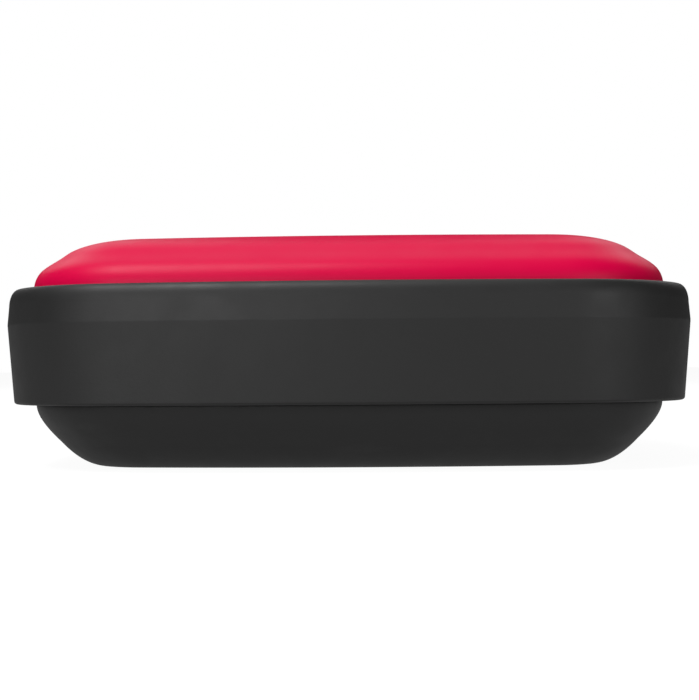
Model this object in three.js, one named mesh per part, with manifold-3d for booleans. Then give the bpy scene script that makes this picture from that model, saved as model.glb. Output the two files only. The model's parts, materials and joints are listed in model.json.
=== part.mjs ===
// A clip-on digital audio player without a screen: a rounded-square puck with a pillow-shaped front cap
// that carries the keys, a black middle band with the sockets, and a sprung clip across the whole back.
// Millimetres, +Z up, with the player lying on its clip. The origin is the centre of the clip's flat outer
// face, +Z points out of the key face, +Y points at the end with the sockets and the clip's hinge.
import * as THREE from "three";
import { mergeVertices } from "three/addons/utils/BufferGeometryUtils.js";
import Module from "manifold-3d";

const wasm = await Module();
wasm.setup();

// ---------------------------------------------------------------- driving dimensions

const BODY_HALF = 19; // centre to the middle of a side, at the band's widest line
const SIDE_RADIUS = 89; // each side is bowed slightly outwards
const CORNER_RADIUS = 7.8;
const ARC_STEPS = 3; // half the straight steps in each arc of the body's outline

const CLIP_RIM_INSET = 1.5;
const CLIP_HEIGHT = 3.35;
const CLIP_EDGE_DEPTH = 4.5; // how far the clip's rounded edge reaches inwards
const CLIP_GAP = 0.1; // between the closed clip and the band
const CLIP_WALL = 1.1;
const CLIP_FLOOR = 0.8;

const BAND_Z = CLIP_HEIGHT;
const BAND_TOP = 9.45;
const BAND_RIDGE = 7.55; // the band's widest line, where its two drafts meet
const BAND_WALL_INSET = 1.8;
const LEDGE_INSET = 2.4;
const LEDGE_Z = 7.7;
const LEDGE_TOP = 8.6;
const CAP_SEAT_INSET = 1.28;

const CAP_INSET = 1.39;
const CAP_RISE = 2.7;
const CAP_EDGE_DEPTH = 5.4;
const CAP_CROWN = 0.1;
const CAP_SKIRT_Z = 8.85;
const CAP_INNER_INSET = 2.65;
const CAP_INNER_RISE = 1.7;
const CAP_INNER_DEPTH = 4.0;
const CAP_UNDERSIDE = BAND_TOP + CAP_INNER_RISE;

const WELL_RADIUS = 11.2; // the round opening that holds the key ring
const RING_KEY_OUTER = 11.0;
const RING_KEY_INNER = 5.35;
const RING_KEY_GAP = 0.5;
const RING_FLANGE_OUTER = 11.8;
const RING_FLANGE_INNER = 7.0;
const RING_STEM_AT = 8.2;
const KEY_TOP = 12.02;
const RING_KEY_Z = 10.75;
const FLANGE_THICKNESS = 0.3;
const PLAY_RADIUS = 5.0;
const PLAY_FLANGE_RADIUS = 6.4;
const PLAY_KEY_Z = 10.15;
const PLAY_FLANGE_THICKNESS = 0.25;
const SMALL_KEY_AT = 10.5;
const SMALL_KEY_RADIUS = 1.5;
const SMALL_FLANGE_RADIUS = 2.05;
const SMALL_KEY_Z = 10.65;
const STEM_RADIUS = 0.9;
const STEM_Z = 8.82;
const KEY_CLEARANCE = 0.15;

const BOARD_Z = 7.55;
const BOARD_THICKNESS = 0.8;
const BOARD_TOP = BOARD_Z + BOARD_THICKNESS;
const BOARD_INSET = 2.65;
const DOME_HEIGHT = 0.37;
const DOME_RADIUS = 1.9;
const SMALL_DOME_RADIUS = 1.25;

const MEMBRANE_Z = 9.6;
const MEMBRANE_THICKNESS = 0.2;
const MEMBRANE_INSET = 4.8;
const MEMBRANE_SKIRT = 0.7;

const PLATE_Z = 3.4;
const PLATE_TOP = 4.2;
const PLATE_INSET = 2.0;
const CASE_SCREW_AT = 13.2;
const BOSS_RADIUS = 1.5;
const BOSS_TOP = 7.5;
const BOARD_SCREW_AT = 15.1;

const SOCKET_AXIS_Z = 6.3;
const JACK_X = -5.8;
const JACK_BORE_RADIUS = 1.75;
const JACK_NOSE_RADIUS = 2.0;
const JACK_BACK = 5.5;
const JACK_FRONT = 15.9;
const USB_X = 4.8;
const USB_WIDTH = 8.9;
const USB_HEIGHT = 3.2;
const USB_WALL = 0.3;
const USB_BACK = 11.2;
const SOCKET_FACE = 18.3; // the flat ends of both sockets, just inside the band's outer face

const HINGE_Y = 11.0;
const HINGE_Z = 2.1;
const PIN_RADIUS = 0.6;
const PIN_HALF_LENGTH = 9.2;
const KNUCKLE_RADIUS = 1.15;
const LUG_X = [5.0, 6.8];
const EAR_X = [7.0, 9.2];
const CLIP_OPENING = 10; // degrees
const GRIP_Y = -13.4;

const PLUG_X = -11.0;
const BATTERY = { halfWidth: 11.3, back: -15.2, front: 3.3, bottom: 4.38, top: 7.2 };

// ---------------------------------------------------------------- materials

const finish = (color, roughness, metalness = 0) =>
  new THREE.MeshStandardMaterial({ color, roughness, metalness });

const RED = finish(0xe01040, 0.45);
const BLACK = finish(0x2b2b2b, 0.55);
const RUBBER = finish(0x1d1d1f, 0.9);
const CLEAR = finish(0xf2f2f2, 0.2);
const STEEL = finish(0xb9bcc0, 0.3, 1);
const SCREW_STEEL = finish(0x3c3d40, 0.4, 1);
const BOARD_GREEN = finish(0x0f4a34, 0.5);
const CHIP_BLACK = finish(0x1b1b1d, 0.6);
const SILICONE = finish(0xc9c9cc, 0.7);
const FOIL = finish(0xc4c7cb, 0.35, 0.6);
const NYLON = finish(0xeae6da, 0.6);
const CERAMIC = finish(0xd9d2c0, 0.5);
const LEAD_RED = finish(0xc62828, 0.5);
const LEAD_BLACK = finish(0x202020, 0.5);

// ---------------------------------------------------------------- solids

// A geometry as a manifold-3d solid, with shared vertices merged and collapsed triangles dropped.
function solidOf(geometry) {
  const positions = new THREE.BufferGeometry();
  const loose = geometry.index ? geometry.toNonIndexed() : geometry;
  positions.setAttribute("position", loose.getAttribute("position"));
  const merged = mergeVertices(positions, 1e-4);
  const index = merged.index.array;
  const kept = [];
  for (let i = 0; i < index.length; i += 3) {
    const [a, b, c] = index.subarray(i, i + 3);
    if (a !== b && b !== c && c !== a) kept.push(a, b, c);
  }
  const mesh = new wasm.Mesh({
    numProp: 3,
    vertProperties: merged.attributes.position.array,
    triVerts: new Uint32Array(kept),
  });
  return new wasm.Manifold(mesh);
}

const join = (first, ...others) => others.reduce((whole, piece) => whole.add(piece), first);

const cut = (first, ...tools) => tools.reduce((whole, tool) => whole.subtract(tool), first);

function meshOf(name, solid, material) {
  const { vertProperties, triVerts, numProp, numVert } = solid.getMesh();
  const positions = new Float32Array(numVert * 3);
  for (let i = 0; i < numVert; i++) {
    positions.set(vertProperties.subarray(i * numProp, i * numProp + 3), i * 3);
  }
  const geometry = new THREE.BufferGeometry();
  geometry.setAttribute("position", new THREE.BufferAttribute(positions, 3));
  geometry.setIndex(new THREE.BufferAttribute(triVerts, 1));
  geometry.computeVertexNormals();
  const mesh = new THREE.Mesh(geometry, material);
  mesh.name = name;
  return mesh;
}

// A box centred on x and y, standing on z.
function box(width, depth, height, x, y, z) {
  const geometry = new THREE.BoxGeometry(width, depth, height);
  return solidOf(geometry.translate(x, y, z + height / 2));
}

// An upright cylinder from z0 to z1.
function cylinder(radius, z0, z1, x = 0, y = 0, segments = 20) {
  const geometry = new THREE.CylinderGeometry(radius, radius, z1 - z0, segments);
  return solidOf(geometry.rotateX(Math.PI / 2).translate(x, y, (z0 + z1) / 2));
}

// A cylinder lying along X.
function crossPin(radius, x0, x1, y, z, segments = 16) {
  const geometry = new THREE.CylinderGeometry(radius, radius, x1 - x0, segments);
  return solidOf(geometry.rotateZ(Math.PI / 2).translate((x0 + x1) / 2, y, z));
}

// A cylinder lying along Y.
function socketPin(radius, y0, y1, x, z, segments = 24) {
  const geometry = new THREE.CylinderGeometry(radius, radius, y1 - y0, segments);
  return solidOf(geometry.translate(x, (y0 + y1) / 2, z));
}

// A flat shape raised from z0 to z1.
function prism(shape, z0, z1, curveSegments = ARC_STEPS) {
  const geometry = new THREE.ExtrudeGeometry(shape, { depth: z1 - z0, bevelEnabled: false, curveSegments });
  return solidOf(geometry.translate(0, 0, z0));
}

// A rounded rectangle seen along Y, run from y0 to y1.
function roundedSlot(width, height, y0, y1, x, z) {
  const radius = height * 0.42;
  const reach = { x: width / 2 - radius, y: height / 2 - radius };
  const shape = new THREE.Shape();
  shape.absarc(reach.x, reach.y, radius, 0, Math.PI / 2);
  shape.absarc(-reach.x, reach.y, radius, Math.PI / 2, Math.PI);
  shape.absarc(-reach.x, -reach.y, radius, Math.PI, 1.5 * Math.PI);
  shape.absarc(reach.x, -reach.y, radius, 1.5 * Math.PI, 2 * Math.PI);
  const options = { depth: y1 - y0, bevelEnabled: false, curveSegments: 4 };
  const geometry = new THREE.ExtrudeGeometry(shape, options);
  return solidOf(geometry.rotateX(-Math.PI / 2).translate(x, y0, z));
}

// A round wire or lead along a curve through points.
function wire(points, radius, steps, sides) {
  const section = new THREE.Shape();
  section.absarc(0, 0, radius, 0, 2 * Math.PI);
  const extrudePath = new THREE.CatmullRomCurve3(points, false, "catmullrom", 0.5);
  return solidOf(new THREE.ExtrudeGeometry(section, { steps, extrudePath, curveSegments: sides / 2 }));
}

// ---------------------------------------------------------------- the body's outline

// Each corner arc's centre lies this far along X and Y, where the corner arc meets the bowed sides smoothly.
const CORNER_CENTRE = (() => {
  const sideCentre = SIDE_RADIUS - BODY_HALF;
  const reach = SIDE_RADIUS - CORNER_RADIUS;
  return (-sideCentre + Math.sqrt(2 * reach ** 2 - sideCentre ** 2)) / 2;
})();
const SIDE_HALF_ANGLE = Math.atan2(CORNER_CENTRE, CORNER_CENTRE + SIDE_RADIUS - BODY_HALF);

// The rounded square with bowed sides, moved inwards by inset.
function bodyOutline(inset) {
  const shape = new THREE.Shape();
  const sideCentre = SIDE_RADIUS - BODY_HALF;
  for (let quarter = 0; quarter < 4; quarter++) {
    const facing = (quarter * Math.PI) / 2;
    const across = facing + Math.PI / 4;
    const cornerX = Math.SQRT2 * CORNER_CENTRE * Math.cos(across);
    const cornerY = Math.SQRT2 * CORNER_CENTRE * Math.sin(across);
    const sideX = -sideCentre * Math.cos(facing);
    const sideY = -sideCentre * Math.sin(facing);
    const start = facing - SIDE_HALF_ANGLE;
    const turn = facing + SIDE_HALF_ANGLE;
    shape.absarc(sideX, sideY, SIDE_RADIUS - inset, start, turn);
    shape.absarc(cornerX, cornerY, CORNER_RADIUS - inset, turn, facing + Math.PI / 2 - SIDE_HALF_ANGLE);
  }
  return shape;
}

// The outline as a ring of points without the repeats where two arcs meet.
function outlineRing(inset, z) {
  const points = bodyOutline(inset).getPoints(ARC_STEPS);
  const apart = points.filter((p, i) => p.distanceTo(points[(i + 1) % points.length]) > 1e-6);
  return apart.map((p) => new THREE.Vector3(p.x, p.y, z));
}

// A solid through the body's outline at each level { z, inset }, lowest first, with a crowned top.
function loft(levels, crown = 0) {
  const rings = levels.map(({ z, inset }) => outlineRing(inset, z));
  const positions = [];
  const triangle = (...corners) => corners.forEach((p) => positions.push(p.x, p.y, p.z));
  const bottom = new THREE.Vector3(0, 0, levels[0].z);
  const top = new THREE.Vector3(0, 0, levels.at(-1).z + crown);
  rings[0].forEach((p, i, ring) => triangle(bottom, ring[(i + 1) % ring.length], p));
  rings.at(-1).forEach((p, i, ring) => triangle(top, p, ring[(i + 1) % ring.length]));
  rings.slice(1).forEach((upper, level) => {
    const lower = rings[level];
    lower.forEach((p, i) => {
      const next = (i + 1) % lower.length;
      triangle(p, lower[next], upper[next]);
      triangle(p, upper[next], upper[i]);
    });
  });
  const geometry = new THREE.BufferGeometry();
  geometry.setAttribute("position", new THREE.Float32BufferAttribute(positions, 3));
  return solidOf(geometry);
}

// Levels of a quarter-ellipse edge that starts upright at z and inset, rises by rise and reaches in by depth.
function roundedEdge(z, inset, rise, depth, steps) {
  const levels = [];
  for (let i = 0; i <= steps; i++) {
    const angle = (i / steps) * (Math.PI / 2);
    levels.push({ z: z + rise * Math.sin(angle), inset: inset + depth * (1 - Math.cos(angle)) });
  }
  return levels;
}

// Levels of the clip's edge, lowest first: level with the flat face, sloping at about 45 degrees at the
// shoulder, and upright at the rim. The curves are in shares of the edge's depth and of its height.
function clipEdge(rim, inset, height, depth, steps) {
  const point = (along, down) => new THREE.Vector2(along, down);
  const shoulder = point(0.29, 0.6);
  const upright = new THREE.QuadraticBezierCurve(point(0, 0), point(0, 0.22), shoulder);
  const round = new THREE.QuadraticBezierCurve(shoulder, point(0.58, 1), point(1, 1));
  const points = [...upright.getPoints(steps), ...round.getPoints(steps).slice(1)];
  return points.map((p) => ({ z: rim - height * p.y, inset: inset + depth * p.x })).reverse();
}

// ---------------------------------------------------------------- casing

const SMALL_KEYS = { playlist_key: -SMALL_KEY_AT, power_key: SMALL_KEY_AT };
const LIGHT_Y = -12.7;
const LIGHT_RADIUS = 0.5;

function frontCap() {
  const skirt = { z: CAP_SKIRT_Z, inset: CAP_INSET + 0.06 };
  const edge = roundedEdge(BAND_TOP, CAP_INSET, CAP_RISE, CAP_EDGE_DEPTH, 7);
  const inside = roundedEdge(BAND_TOP, CAP_INNER_INSET, CAP_INNER_RISE, CAP_INNER_DEPTH, 4);
  const shell = cut(
    loft([skirt, ...edge], CAP_CROWN),
    loft([{ z: CAP_SKIRT_Z - 1, inset: CAP_INNER_INSET }, ...inside]),
    cylinder(WELL_RADIUS, CAP_UNDERSIDE - 1, 14, 0, 0, 48),
    cylinder(LIGHT_RADIUS + 0.06, CAP_UNDERSIDE - 1, 14, 0, LIGHT_Y, 12),
    ...Object.values(SMALL_KEYS).map((x) =>
      cylinder(SMALL_KEY_RADIUS + KEY_CLEARANCE, CAP_UNDERSIDE - 1, 14, x, SMALL_KEY_AT),
    ),
  );
  const posts = [-1, 1].map((side) =>
    cut(
      cylinder(1.15, BOARD_TOP + 0.05, 11, side * BOARD_SCREW_AT, 0, 16),
      cylinder(0.52, BOARD_TOP, 10.3, side * BOARD_SCREW_AT, 0, 12),
    ),
  );
  return meshOf("front_cap", join(shell, ...posts), RED);
}

function frameBand() {
  const outside = loft([
    { z: BAND_Z, inset: 0.6 },
    { z: BAND_Z + 0.08, inset: 0.42 },
    { z: BAND_Z + 0.28, inset: 0.32 },
    { z: BAND_RIDGE, inset: 0 },
    { z: BAND_TOP - 0.5, inset: 0.13 },
    { z: BAND_TOP - 0.2, inset: 0.22 },
    { z: BAND_TOP - 0.05, inset: 0.42 },
    { z: BAND_TOP, inset: 0.68 },
  ]);
  const shell = cut(
    outside,
    prism(bodyOutline(CAP_SEAT_INSET), LEDGE_TOP, BAND_TOP + 1),
    prism(bodyOutline(LEDGE_INSET), LEDGE_Z - 0.5, LEDGE_TOP + 0.5),
    prism(bodyOutline(BAND_WALL_INSET), BAND_Z - 1, LEDGE_Z),
  );
  const corners = [45, 135, 225, 315].map((degrees) => {
    const angle = THREE.MathUtils.degToRad(degrees);
    const at = Math.SQRT2 * CASE_SCREW_AT;
    const centre = [at * Math.cos(angle), at * Math.sin(angle)];
    const bossZ = PLATE_TOP + 0.05;
    const boss = cylinder(BOSS_RADIUS, bossZ, BOSS_TOP, ...centre, 16);
    const rib = new THREE.BoxGeometry(2.6, 1.2, BOSS_TOP - bossZ);
    rib.translate(at + 1.6, 0, (BOSS_TOP + bossZ) / 2).rotateZ(angle);
    const pilot = cylinder(0.72, PLATE_TOP, 7.1, ...centre, 12);
    return cut(join(boss, solidOf(rib)), pilot);
  });
  const ports = [
    socketPin(JACK_NOSE_RADIUS + 0.05, JACK_FRONT - 0.5, BODY_HALF + 1, JACK_X, SOCKET_AXIS_Z, 32),
    roundedSlot(USB_WIDTH + 0.3, USB_HEIGHT + 0.3, JACK_FRONT - 0.5, BODY_HALF + 1, USB_X, SOCKET_AXIS_Z),
  ];
  return meshOf("frame_band", cut(join(shell, ...corners), ...ports), BLACK);
}

function capGasket() {
  const ring = cut(
    prism(bodyOutline(CAP_SEAT_INSET + 0.15), LEDGE_TOP + 0.03, CAP_SKIRT_Z - 0.05),
    prism(bodyOutline(LEDGE_INSET - 0.05), LEDGE_TOP - 1, CAP_SKIRT_Z + 1),
  );
  return meshOf("cap_gasket", ring, RUBBER);
}

const SCREW_CORNERS = [
  [1, 1],
  [-1, 1],
  [-1, -1],
  [1, -1],
];

// A countersunk screw's profile from its head's flat face at z0 up to its tip at z1. Its hole is the same
// profile, wider by grow.
function screwProfile(z0, z1, grow = 0) {
  return [
    [0, z0],
    [1.2 + grow, z0],
    [1.2 + grow, PLATE_Z + 0.15],
    [0.65 + grow, PLATE_Z + 0.6],
    [0.65 + grow, z1],
    [0, z1],
  ].map(([r, z]) => new THREE.Vector2(r, z));
}

function turned(profile, x, y, segments = 16) {
  return solidOf(new THREE.LatheGeometry(profile, segments).rotateX(Math.PI / 2).translate(x, y, 0));
}

function backPlate() {
  const screwHoles = SCREW_CORNERS.map(([x, y]) =>
    turned(screwProfile(PLATE_Z - 0.2, PLATE_TOP + 1, 0.08), x * CASE_SCREW_AT, y * CASE_SCREW_AT),
  );
  const lugs = hingeEars(LUG_X, (width, x) =>
    box(width, 2 * KNUCKLE_RADIUS, PLATE_Z + 0.2 - HINGE_Z, x, HINGE_Y, HINGE_Z),
  );
  const plate = cut(
    prism(bodyOutline(PLATE_INSET), PLATE_Z, PLATE_TOP),
    box(20.4, 3.0, 0.4, 0, GRIP_Y, PLATE_Z - 0.15),
    ...screwHoles,
  );
  const pinHole = crossPin(PIN_RADIUS + 0.06, -PIN_HALF_LENGTH, PIN_HALF_LENGTH, HINGE_Y, HINGE_Z);
  return meshOf("back_plate", cut(join(plate, ...lugs), pinHole), BLACK);
}

function caseScrews() {
  return SCREW_CORNERS.map(([x, y], i) => {
    const screw = turned(screwProfile(PLATE_Z + 0.02, 6.9), x * CASE_SCREW_AT, y * CASE_SCREW_AT);
    return meshOf(`case_screw_${i + 1}`, screw, SCREW_STEEL);
  });
}

// ---------------------------------------------------------------- keys

// A quarter of a ring that faces +X, with parallel-sided gaps to its neighbours.
function ringSector(inner, outer) {
  const halfAngle = (radius) => Math.PI / 4 - Math.asin(RING_KEY_GAP / 2 / radius);
  const shape = new THREE.Shape();
  shape.absarc(0, 0, outer, -halfAngle(outer), halfAngle(outer), false);
  shape.absarc(0, 0, inner, halfAngle(inner), -halfAngle(inner), true);
  return shape;
}

function ringKey(name, degrees) {
  const key = join(
    prism(ringSector(RING_KEY_INNER, RING_KEY_OUTER), RING_KEY_Z, KEY_TOP, 5),
    prism(ringSector(RING_FLANGE_INNER, RING_FLANGE_OUTER), RING_KEY_Z, RING_KEY_Z + FLANGE_THICKNESS, 5),
    cylinder(STEM_RADIUS, STEM_Z, RING_KEY_Z + 0.1, RING_STEM_AT, 0, 12),
  );
  return meshOf(name, key.rotate([0, 0, degrees]), RED);
}

function playKey() {
  const key = join(
    cylinder(PLAY_RADIUS, PLAY_KEY_Z, KEY_TOP + 0.03, 0, 0, 32),
    cylinder(PLAY_FLANGE_RADIUS, PLAY_KEY_Z, PLAY_KEY_Z + PLAY_FLANGE_THICKNESS, 0, 0, 32),
    cylinder(STEM_RADIUS, STEM_Z, PLAY_KEY_Z + 0.1, 0, 0, 12),
  );
  return meshOf("play_key", key, RED);
}

function smallKey(name, x) {
  const key = join(
    cylinder(SMALL_KEY_RADIUS, SMALL_KEY_Z, KEY_TOP, x, SMALL_KEY_AT),
    cylinder(SMALL_FLANGE_RADIUS, SMALL_KEY_Z, SMALL_KEY_Z + FLANGE_THICKNESS, x, SMALL_KEY_AT),
    cylinder(STEM_RADIUS, STEM_Z, SMALL_KEY_Z + 0.1, x, SMALL_KEY_AT, 12),
  );
  return meshOf(name, key, RED);
}

const RING_KEYS = { next_key: 0, volume_up_key: 90, previous_key: 180, volume_down_key: 270 };

// Where each key's stem stands, with the metal dome beneath it.
const STEMS = {
  play: { x: 0, y: 0, dome: DOME_RADIUS },
  next: { x: RING_STEM_AT, y: 0, dome: DOME_RADIUS },
  volume_up: { x: 0, y: RING_STEM_AT, dome: DOME_RADIUS },
  previous: { x: -RING_STEM_AT, y: 0, dome: DOME_RADIUS },
  volume_down: { x: 0, y: -RING_STEM_AT, dome: DOME_RADIUS },
  playlist: { x: -SMALL_KEY_AT, y: SMALL_KEY_AT, dome: SMALL_DOME_RADIUS },
  power: { x: SMALL_KEY_AT, y: SMALL_KEY_AT, dome: SMALL_DOME_RADIUS },
};

function keypadMembrane() {
  const skirtZ = BOARD_TOP + 0.05;
  const sheet = prism(bodyOutline(MEMBRANE_INSET), skirtZ, MEMBRANE_Z + MEMBRANE_THICKNESS);
  const hollow = prism(bodyOutline(MEMBRANE_INSET + MEMBRANE_SKIRT), skirtZ - 1, MEMBRANE_Z);
  const holes = Object.values(STEMS).map(({ x, y }) => cylinder(1.15, MEMBRANE_Z - 1, 12, x, y, 12));
  const notches = [-1, 1].map((side) => cylinder(1.4, skirtZ - 1, 12, side * BOARD_SCREW_AT, 0, 16));
  const lightHole = cylinder(0.75, skirtZ - 1, 12, 0, LIGHT_Y, 12);
  return meshOf("keypad_membrane", cut(sheet, hollow, ...holes, ...notches, lightHole), SILICONE);
}

// A snap dome: a shallow spherical cap of spring steel with a flat underside.
function switchDome(name, { x, y, dome }) {
  const rise = DOME_HEIGHT - 0.08;
  const profile = [new THREE.Vector2(0, 0), new THREE.Vector2(dome, 0)];
  for (let i = 0; i <= 3; i++) {
    const r = dome * (1 - i / 3);
    profile.push(new THREE.Vector2(r, 0.08 + rise * (1 - (r / dome) ** 2)));
  }
  const geometry = new THREE.LatheGeometry(profile, 12).rotateX(Math.PI / 2);
  return meshOf(`${name}_dome`, solidOf(geometry.translate(x, y, BOARD_TOP + 0.01)), STEEL);
}

function statusLightPipe() {
  const pipe = join(
    cylinder(LIGHT_RADIUS, 9.2, BAND_TOP + CAP_RISE - 0.05, 0, LIGHT_Y, 12),
    cylinder(0.8, 9.95, 10.2, 0, LIGHT_Y, 12),
  );
  return meshOf("status_light_pipe", pipe, CLEAR);
}

// ---------------------------------------------------------------- electronics

function mainBoard() {
  const board = prism(bodyOutline(BOARD_INSET), BOARD_Z, BOARD_TOP);
  const jackCutout = box(6.2, 14, 3, JACK_X, JACK_BACK + 6.8, BOARD_Z - 1);
  const usbCutout = box(USB_WIDTH + 0.3, 8, 3, USB_X, USB_BACK + 3.8, BOARD_Z - 1);
  const screwHoles = [-1, 1].map((side) =>
    cylinder(0.62, BOARD_Z - 1, BOARD_TOP + 1, side * BOARD_SCREW_AT, 0, 12),
  );
  return meshOf("main_board", cut(board, jackCutout, usbCutout, ...screwHoles), BOARD_GREEN);
}

// Parts soldered under the board hang from its lower face, and parts on top stand on its upper face.
const under = (height) => BOARD_Z - 0.02 - height;
const above = BOARD_TOP + 0.02;

function boardParts() {
  const chips = [
    ["processor_chip", 5.5, 5.5, 0.8, 4.9, 7.4, under(0.8), CHIP_BLACK],
    ["audio_chip", 2.8, 2.8, 0.7, -0.9, 7.2, under(0.7), CHIP_BLACK],
    ["power_chip", 2.6, 2.6, 0.7, 11.5, 5.9, under(0.7), CHIP_BLACK],
    ["power_inductor", 2.5, 2.5, 1.2, 12.4, 9.2, under(1.2), CHIP_BLACK],
    ["clock_crystal", 2.0, 1.6, 0.6, 9.4, 8.6, under(0.6), STEEL],
    ["flash_memory", 6.0, 5.0, 0.9, -9.0, -9.3, above, CHIP_BLACK],
    ["radio_shield", 6.6, 5.6, 1.0, 8.8, -9.3, above, STEEL],
    ["chip_antenna", 1.2, 5.0, 0.9, -15.3, -5.6, above, CERAMIC],
    ["status_led", 1.6, 0.8, 0.5, 0, LIGHT_Y, above, CLEAR],
    ["battery_socket", 3.4, 2.4, 1.3, PLUG_X, 7.5, under(1.3), NYLON],
  ];
  return chips.map(([name, width, depth, height, x, y, z, material]) =>
    meshOf(name, box(width, depth, height, x, y, z), material),
  );
}

function boardScrews() {
  const profile = [
    [0, 6.95],
    [1.0, 6.95],
    [1.0, BOARD_Z - 0.05],
    [0.45, BOARD_Z - 0.05],
    [0.45, 10.0],
    [0, 10.0],
  ].map(([r, z]) => new THREE.Vector2(r, z));
  return [
    meshOf("board_screw_left", turned(profile, -BOARD_SCREW_AT, 0, 12), SCREW_STEEL),
    meshOf("board_screw_right", turned(profile, BOARD_SCREW_AT, 0, 12), SCREW_STEEL),
  ];
}

function headphoneJack() {
  const height = 3.9;
  const middle = (JACK_FRONT + JACK_BACK) / 2;
  const body = join(
    box(5.8, JACK_FRONT - JACK_BACK, height, JACK_X, middle, SOCKET_AXIS_Z - height / 2),
    socketPin(JACK_NOSE_RADIUS, JACK_FRONT - 0.5, SOCKET_FACE, JACK_X, SOCKET_AXIS_Z),
  );
  const bore = socketPin(JACK_BORE_RADIUS, JACK_BACK + 1, BODY_HALF, JACK_X, SOCKET_AXIS_Z);
  return meshOf("headphone_jack", cut(body, bore), CHIP_BLACK);
}

function usbSocket() {
  const shell = cut(
    roundedSlot(USB_WIDTH, USB_HEIGHT, USB_BACK, SOCKET_FACE, USB_X, SOCKET_AXIS_Z),
    roundedSlot(
      USB_WIDTH - 2 * USB_WALL,
      USB_HEIGHT - 2 * USB_WALL,
      USB_BACK + 1.2,
      SOCKET_FACE + 1,
      USB_X,
      SOCKET_AXIS_Z,
    ),
  );
  const tongueBack = USB_BACK + 1.25;
  const tongue = box(6.7, 4.9, 0.7, USB_X, tongueBack + 2.45, SOCKET_AXIS_Z - 0.35);
  return [meshOf("usb_shell", shell, STEEL), meshOf("usb_tongue", tongue, CHIP_BLACK)];
}

function batteryPack() {
  const { halfWidth, back, front, bottom, top } = BATTERY;
  const middle = (front + back) / 2;
  const cell = box(2 * halfWidth, front - back, top - bottom, 0, middle, bottom);
  const tape = box(14, 12, 0.1, 0, middle, bottom - 0.14);
  const plug = box(2.8, 1.6, 1.0, PLUG_X, 5.45, 6.4);
  const lead = (name, from, to, material) => {
    const route = [
      [from, front + 0.05, 6.6],
      [from, front + 0.5, 6.7],
      [(from + to) / 2, front + 0.75, 6.85],
      [to, front + 1.0, 6.9],
      [to, front + 1.32, 6.9],
    ].map((point) => new THREE.Vector3(...point));
    return meshOf(name, wire(route, 0.25, 10, 6), material);
  };
  return [
    meshOf("battery", cell, FOIL),
    meshOf("battery_tape", tape, NYLON),
    meshOf("battery_plug", plug, NYLON),
    lead("battery_lead_positive", -10.6, PLUG_X - 0.6, LEAD_RED),
    lead("battery_lead_negative", -9.4, PLUG_X + 0.6, LEAD_BLACK),
  ];
}

// ---------------------------------------------------------------- clip

const CLIP_RIB = { x: 11.8, width: 0.9, top: 2.2 };

// A solid around the hinge axis from near to far along X, on both sides of the player.
function hingeEars([near, far], makeEar) {
  return [-1, 1].map((side) => {
    const [x0, x1] = side > 0 ? [near, far] : [-far, -near];
    return join(crossPin(KNUCKLE_RADIUS, x0, x1, HINGE_Y, HINGE_Z, 20), makeEar(x1 - x0, (x0 + x1) / 2));
  });
}

// What is planed off the clip's heel, so that it can swing up to the band as the mouth opens.
function heelPlane() {
  const slab = new THREE.BoxGeometry(60, 20, 4).translate(0, 10, 2);
  const tilt = THREE.MathUtils.degToRad(CLIP_OPENING + 0.2);
  return solidOf(slab.rotateX(-tilt).translate(0, HINGE_Y, HINGE_Z + KNUCKLE_RADIUS + 0.05));
}

function clipShell() {
  const rim = CLIP_HEIGHT - CLIP_GAP;
  const wall = CLIP_RIM_INSET + CLIP_WALL;
  const outside = clipEdge(rim, CLIP_RIM_INSET, rim, CLIP_EDGE_DEPTH, 4);
  const inside = clipEdge(rim, wall, rim - CLIP_FLOOR, CLIP_EDGE_DEPTH - 0.5, 2);
  const pocket = cut(
    loft([...inside, { z: rim + 1, inset: wall }]),
    box(40, 6, 6, 0, GRIP_Y - 1.2, 0), // the jaw stays solid
    ...[-1, 1].map((side) => box(CLIP_RIB.width, 40, CLIP_RIB.top, side * CLIP_RIB.x, 0, 0)),
  );
  const ears = hingeEars(EAR_X, (width, x) =>
    box(width, 2 * KNUCKLE_RADIUS, HINGE_Z - CLIP_FLOOR + 0.3, x, HINGE_Y, CLIP_FLOOR - 0.3),
  );
  const pinReach = PIN_HALF_LENGTH + 0.3;
  const pinHole = crossPin(PIN_RADIUS + 0.04, -pinReach, pinReach, HINGE_Y, HINGE_Z);
  const padSeat = box(19.4, 2.6, 1, 0, GRIP_Y, rim - 0.5);
  const shell = join(cut(loft(outside), pocket), ...ears);
  return meshOf("clip_shell", cut(shell, heelPlane(), pinHole, padSeat), BLACK);
}

// Rubber pads that face each other across the clip's mouth, each with three ridges at ridgeZ.
function gripPad(name, width, z0, z1, ridgeZ, ridgeRadius) {
  const base = box(width, 2.4, z1 - z0, 0, GRIP_Y, z0);
  const ridges = [-0.8, 0, 0.8].map((offset) =>
    crossPin(ridgeRadius, -width / 2 + 0.5, width / 2 - 0.5, GRIP_Y + offset, ridgeZ, 8),
  );
  return meshOf(name, join(base, ...ridges), RUBBER);
}

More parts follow.
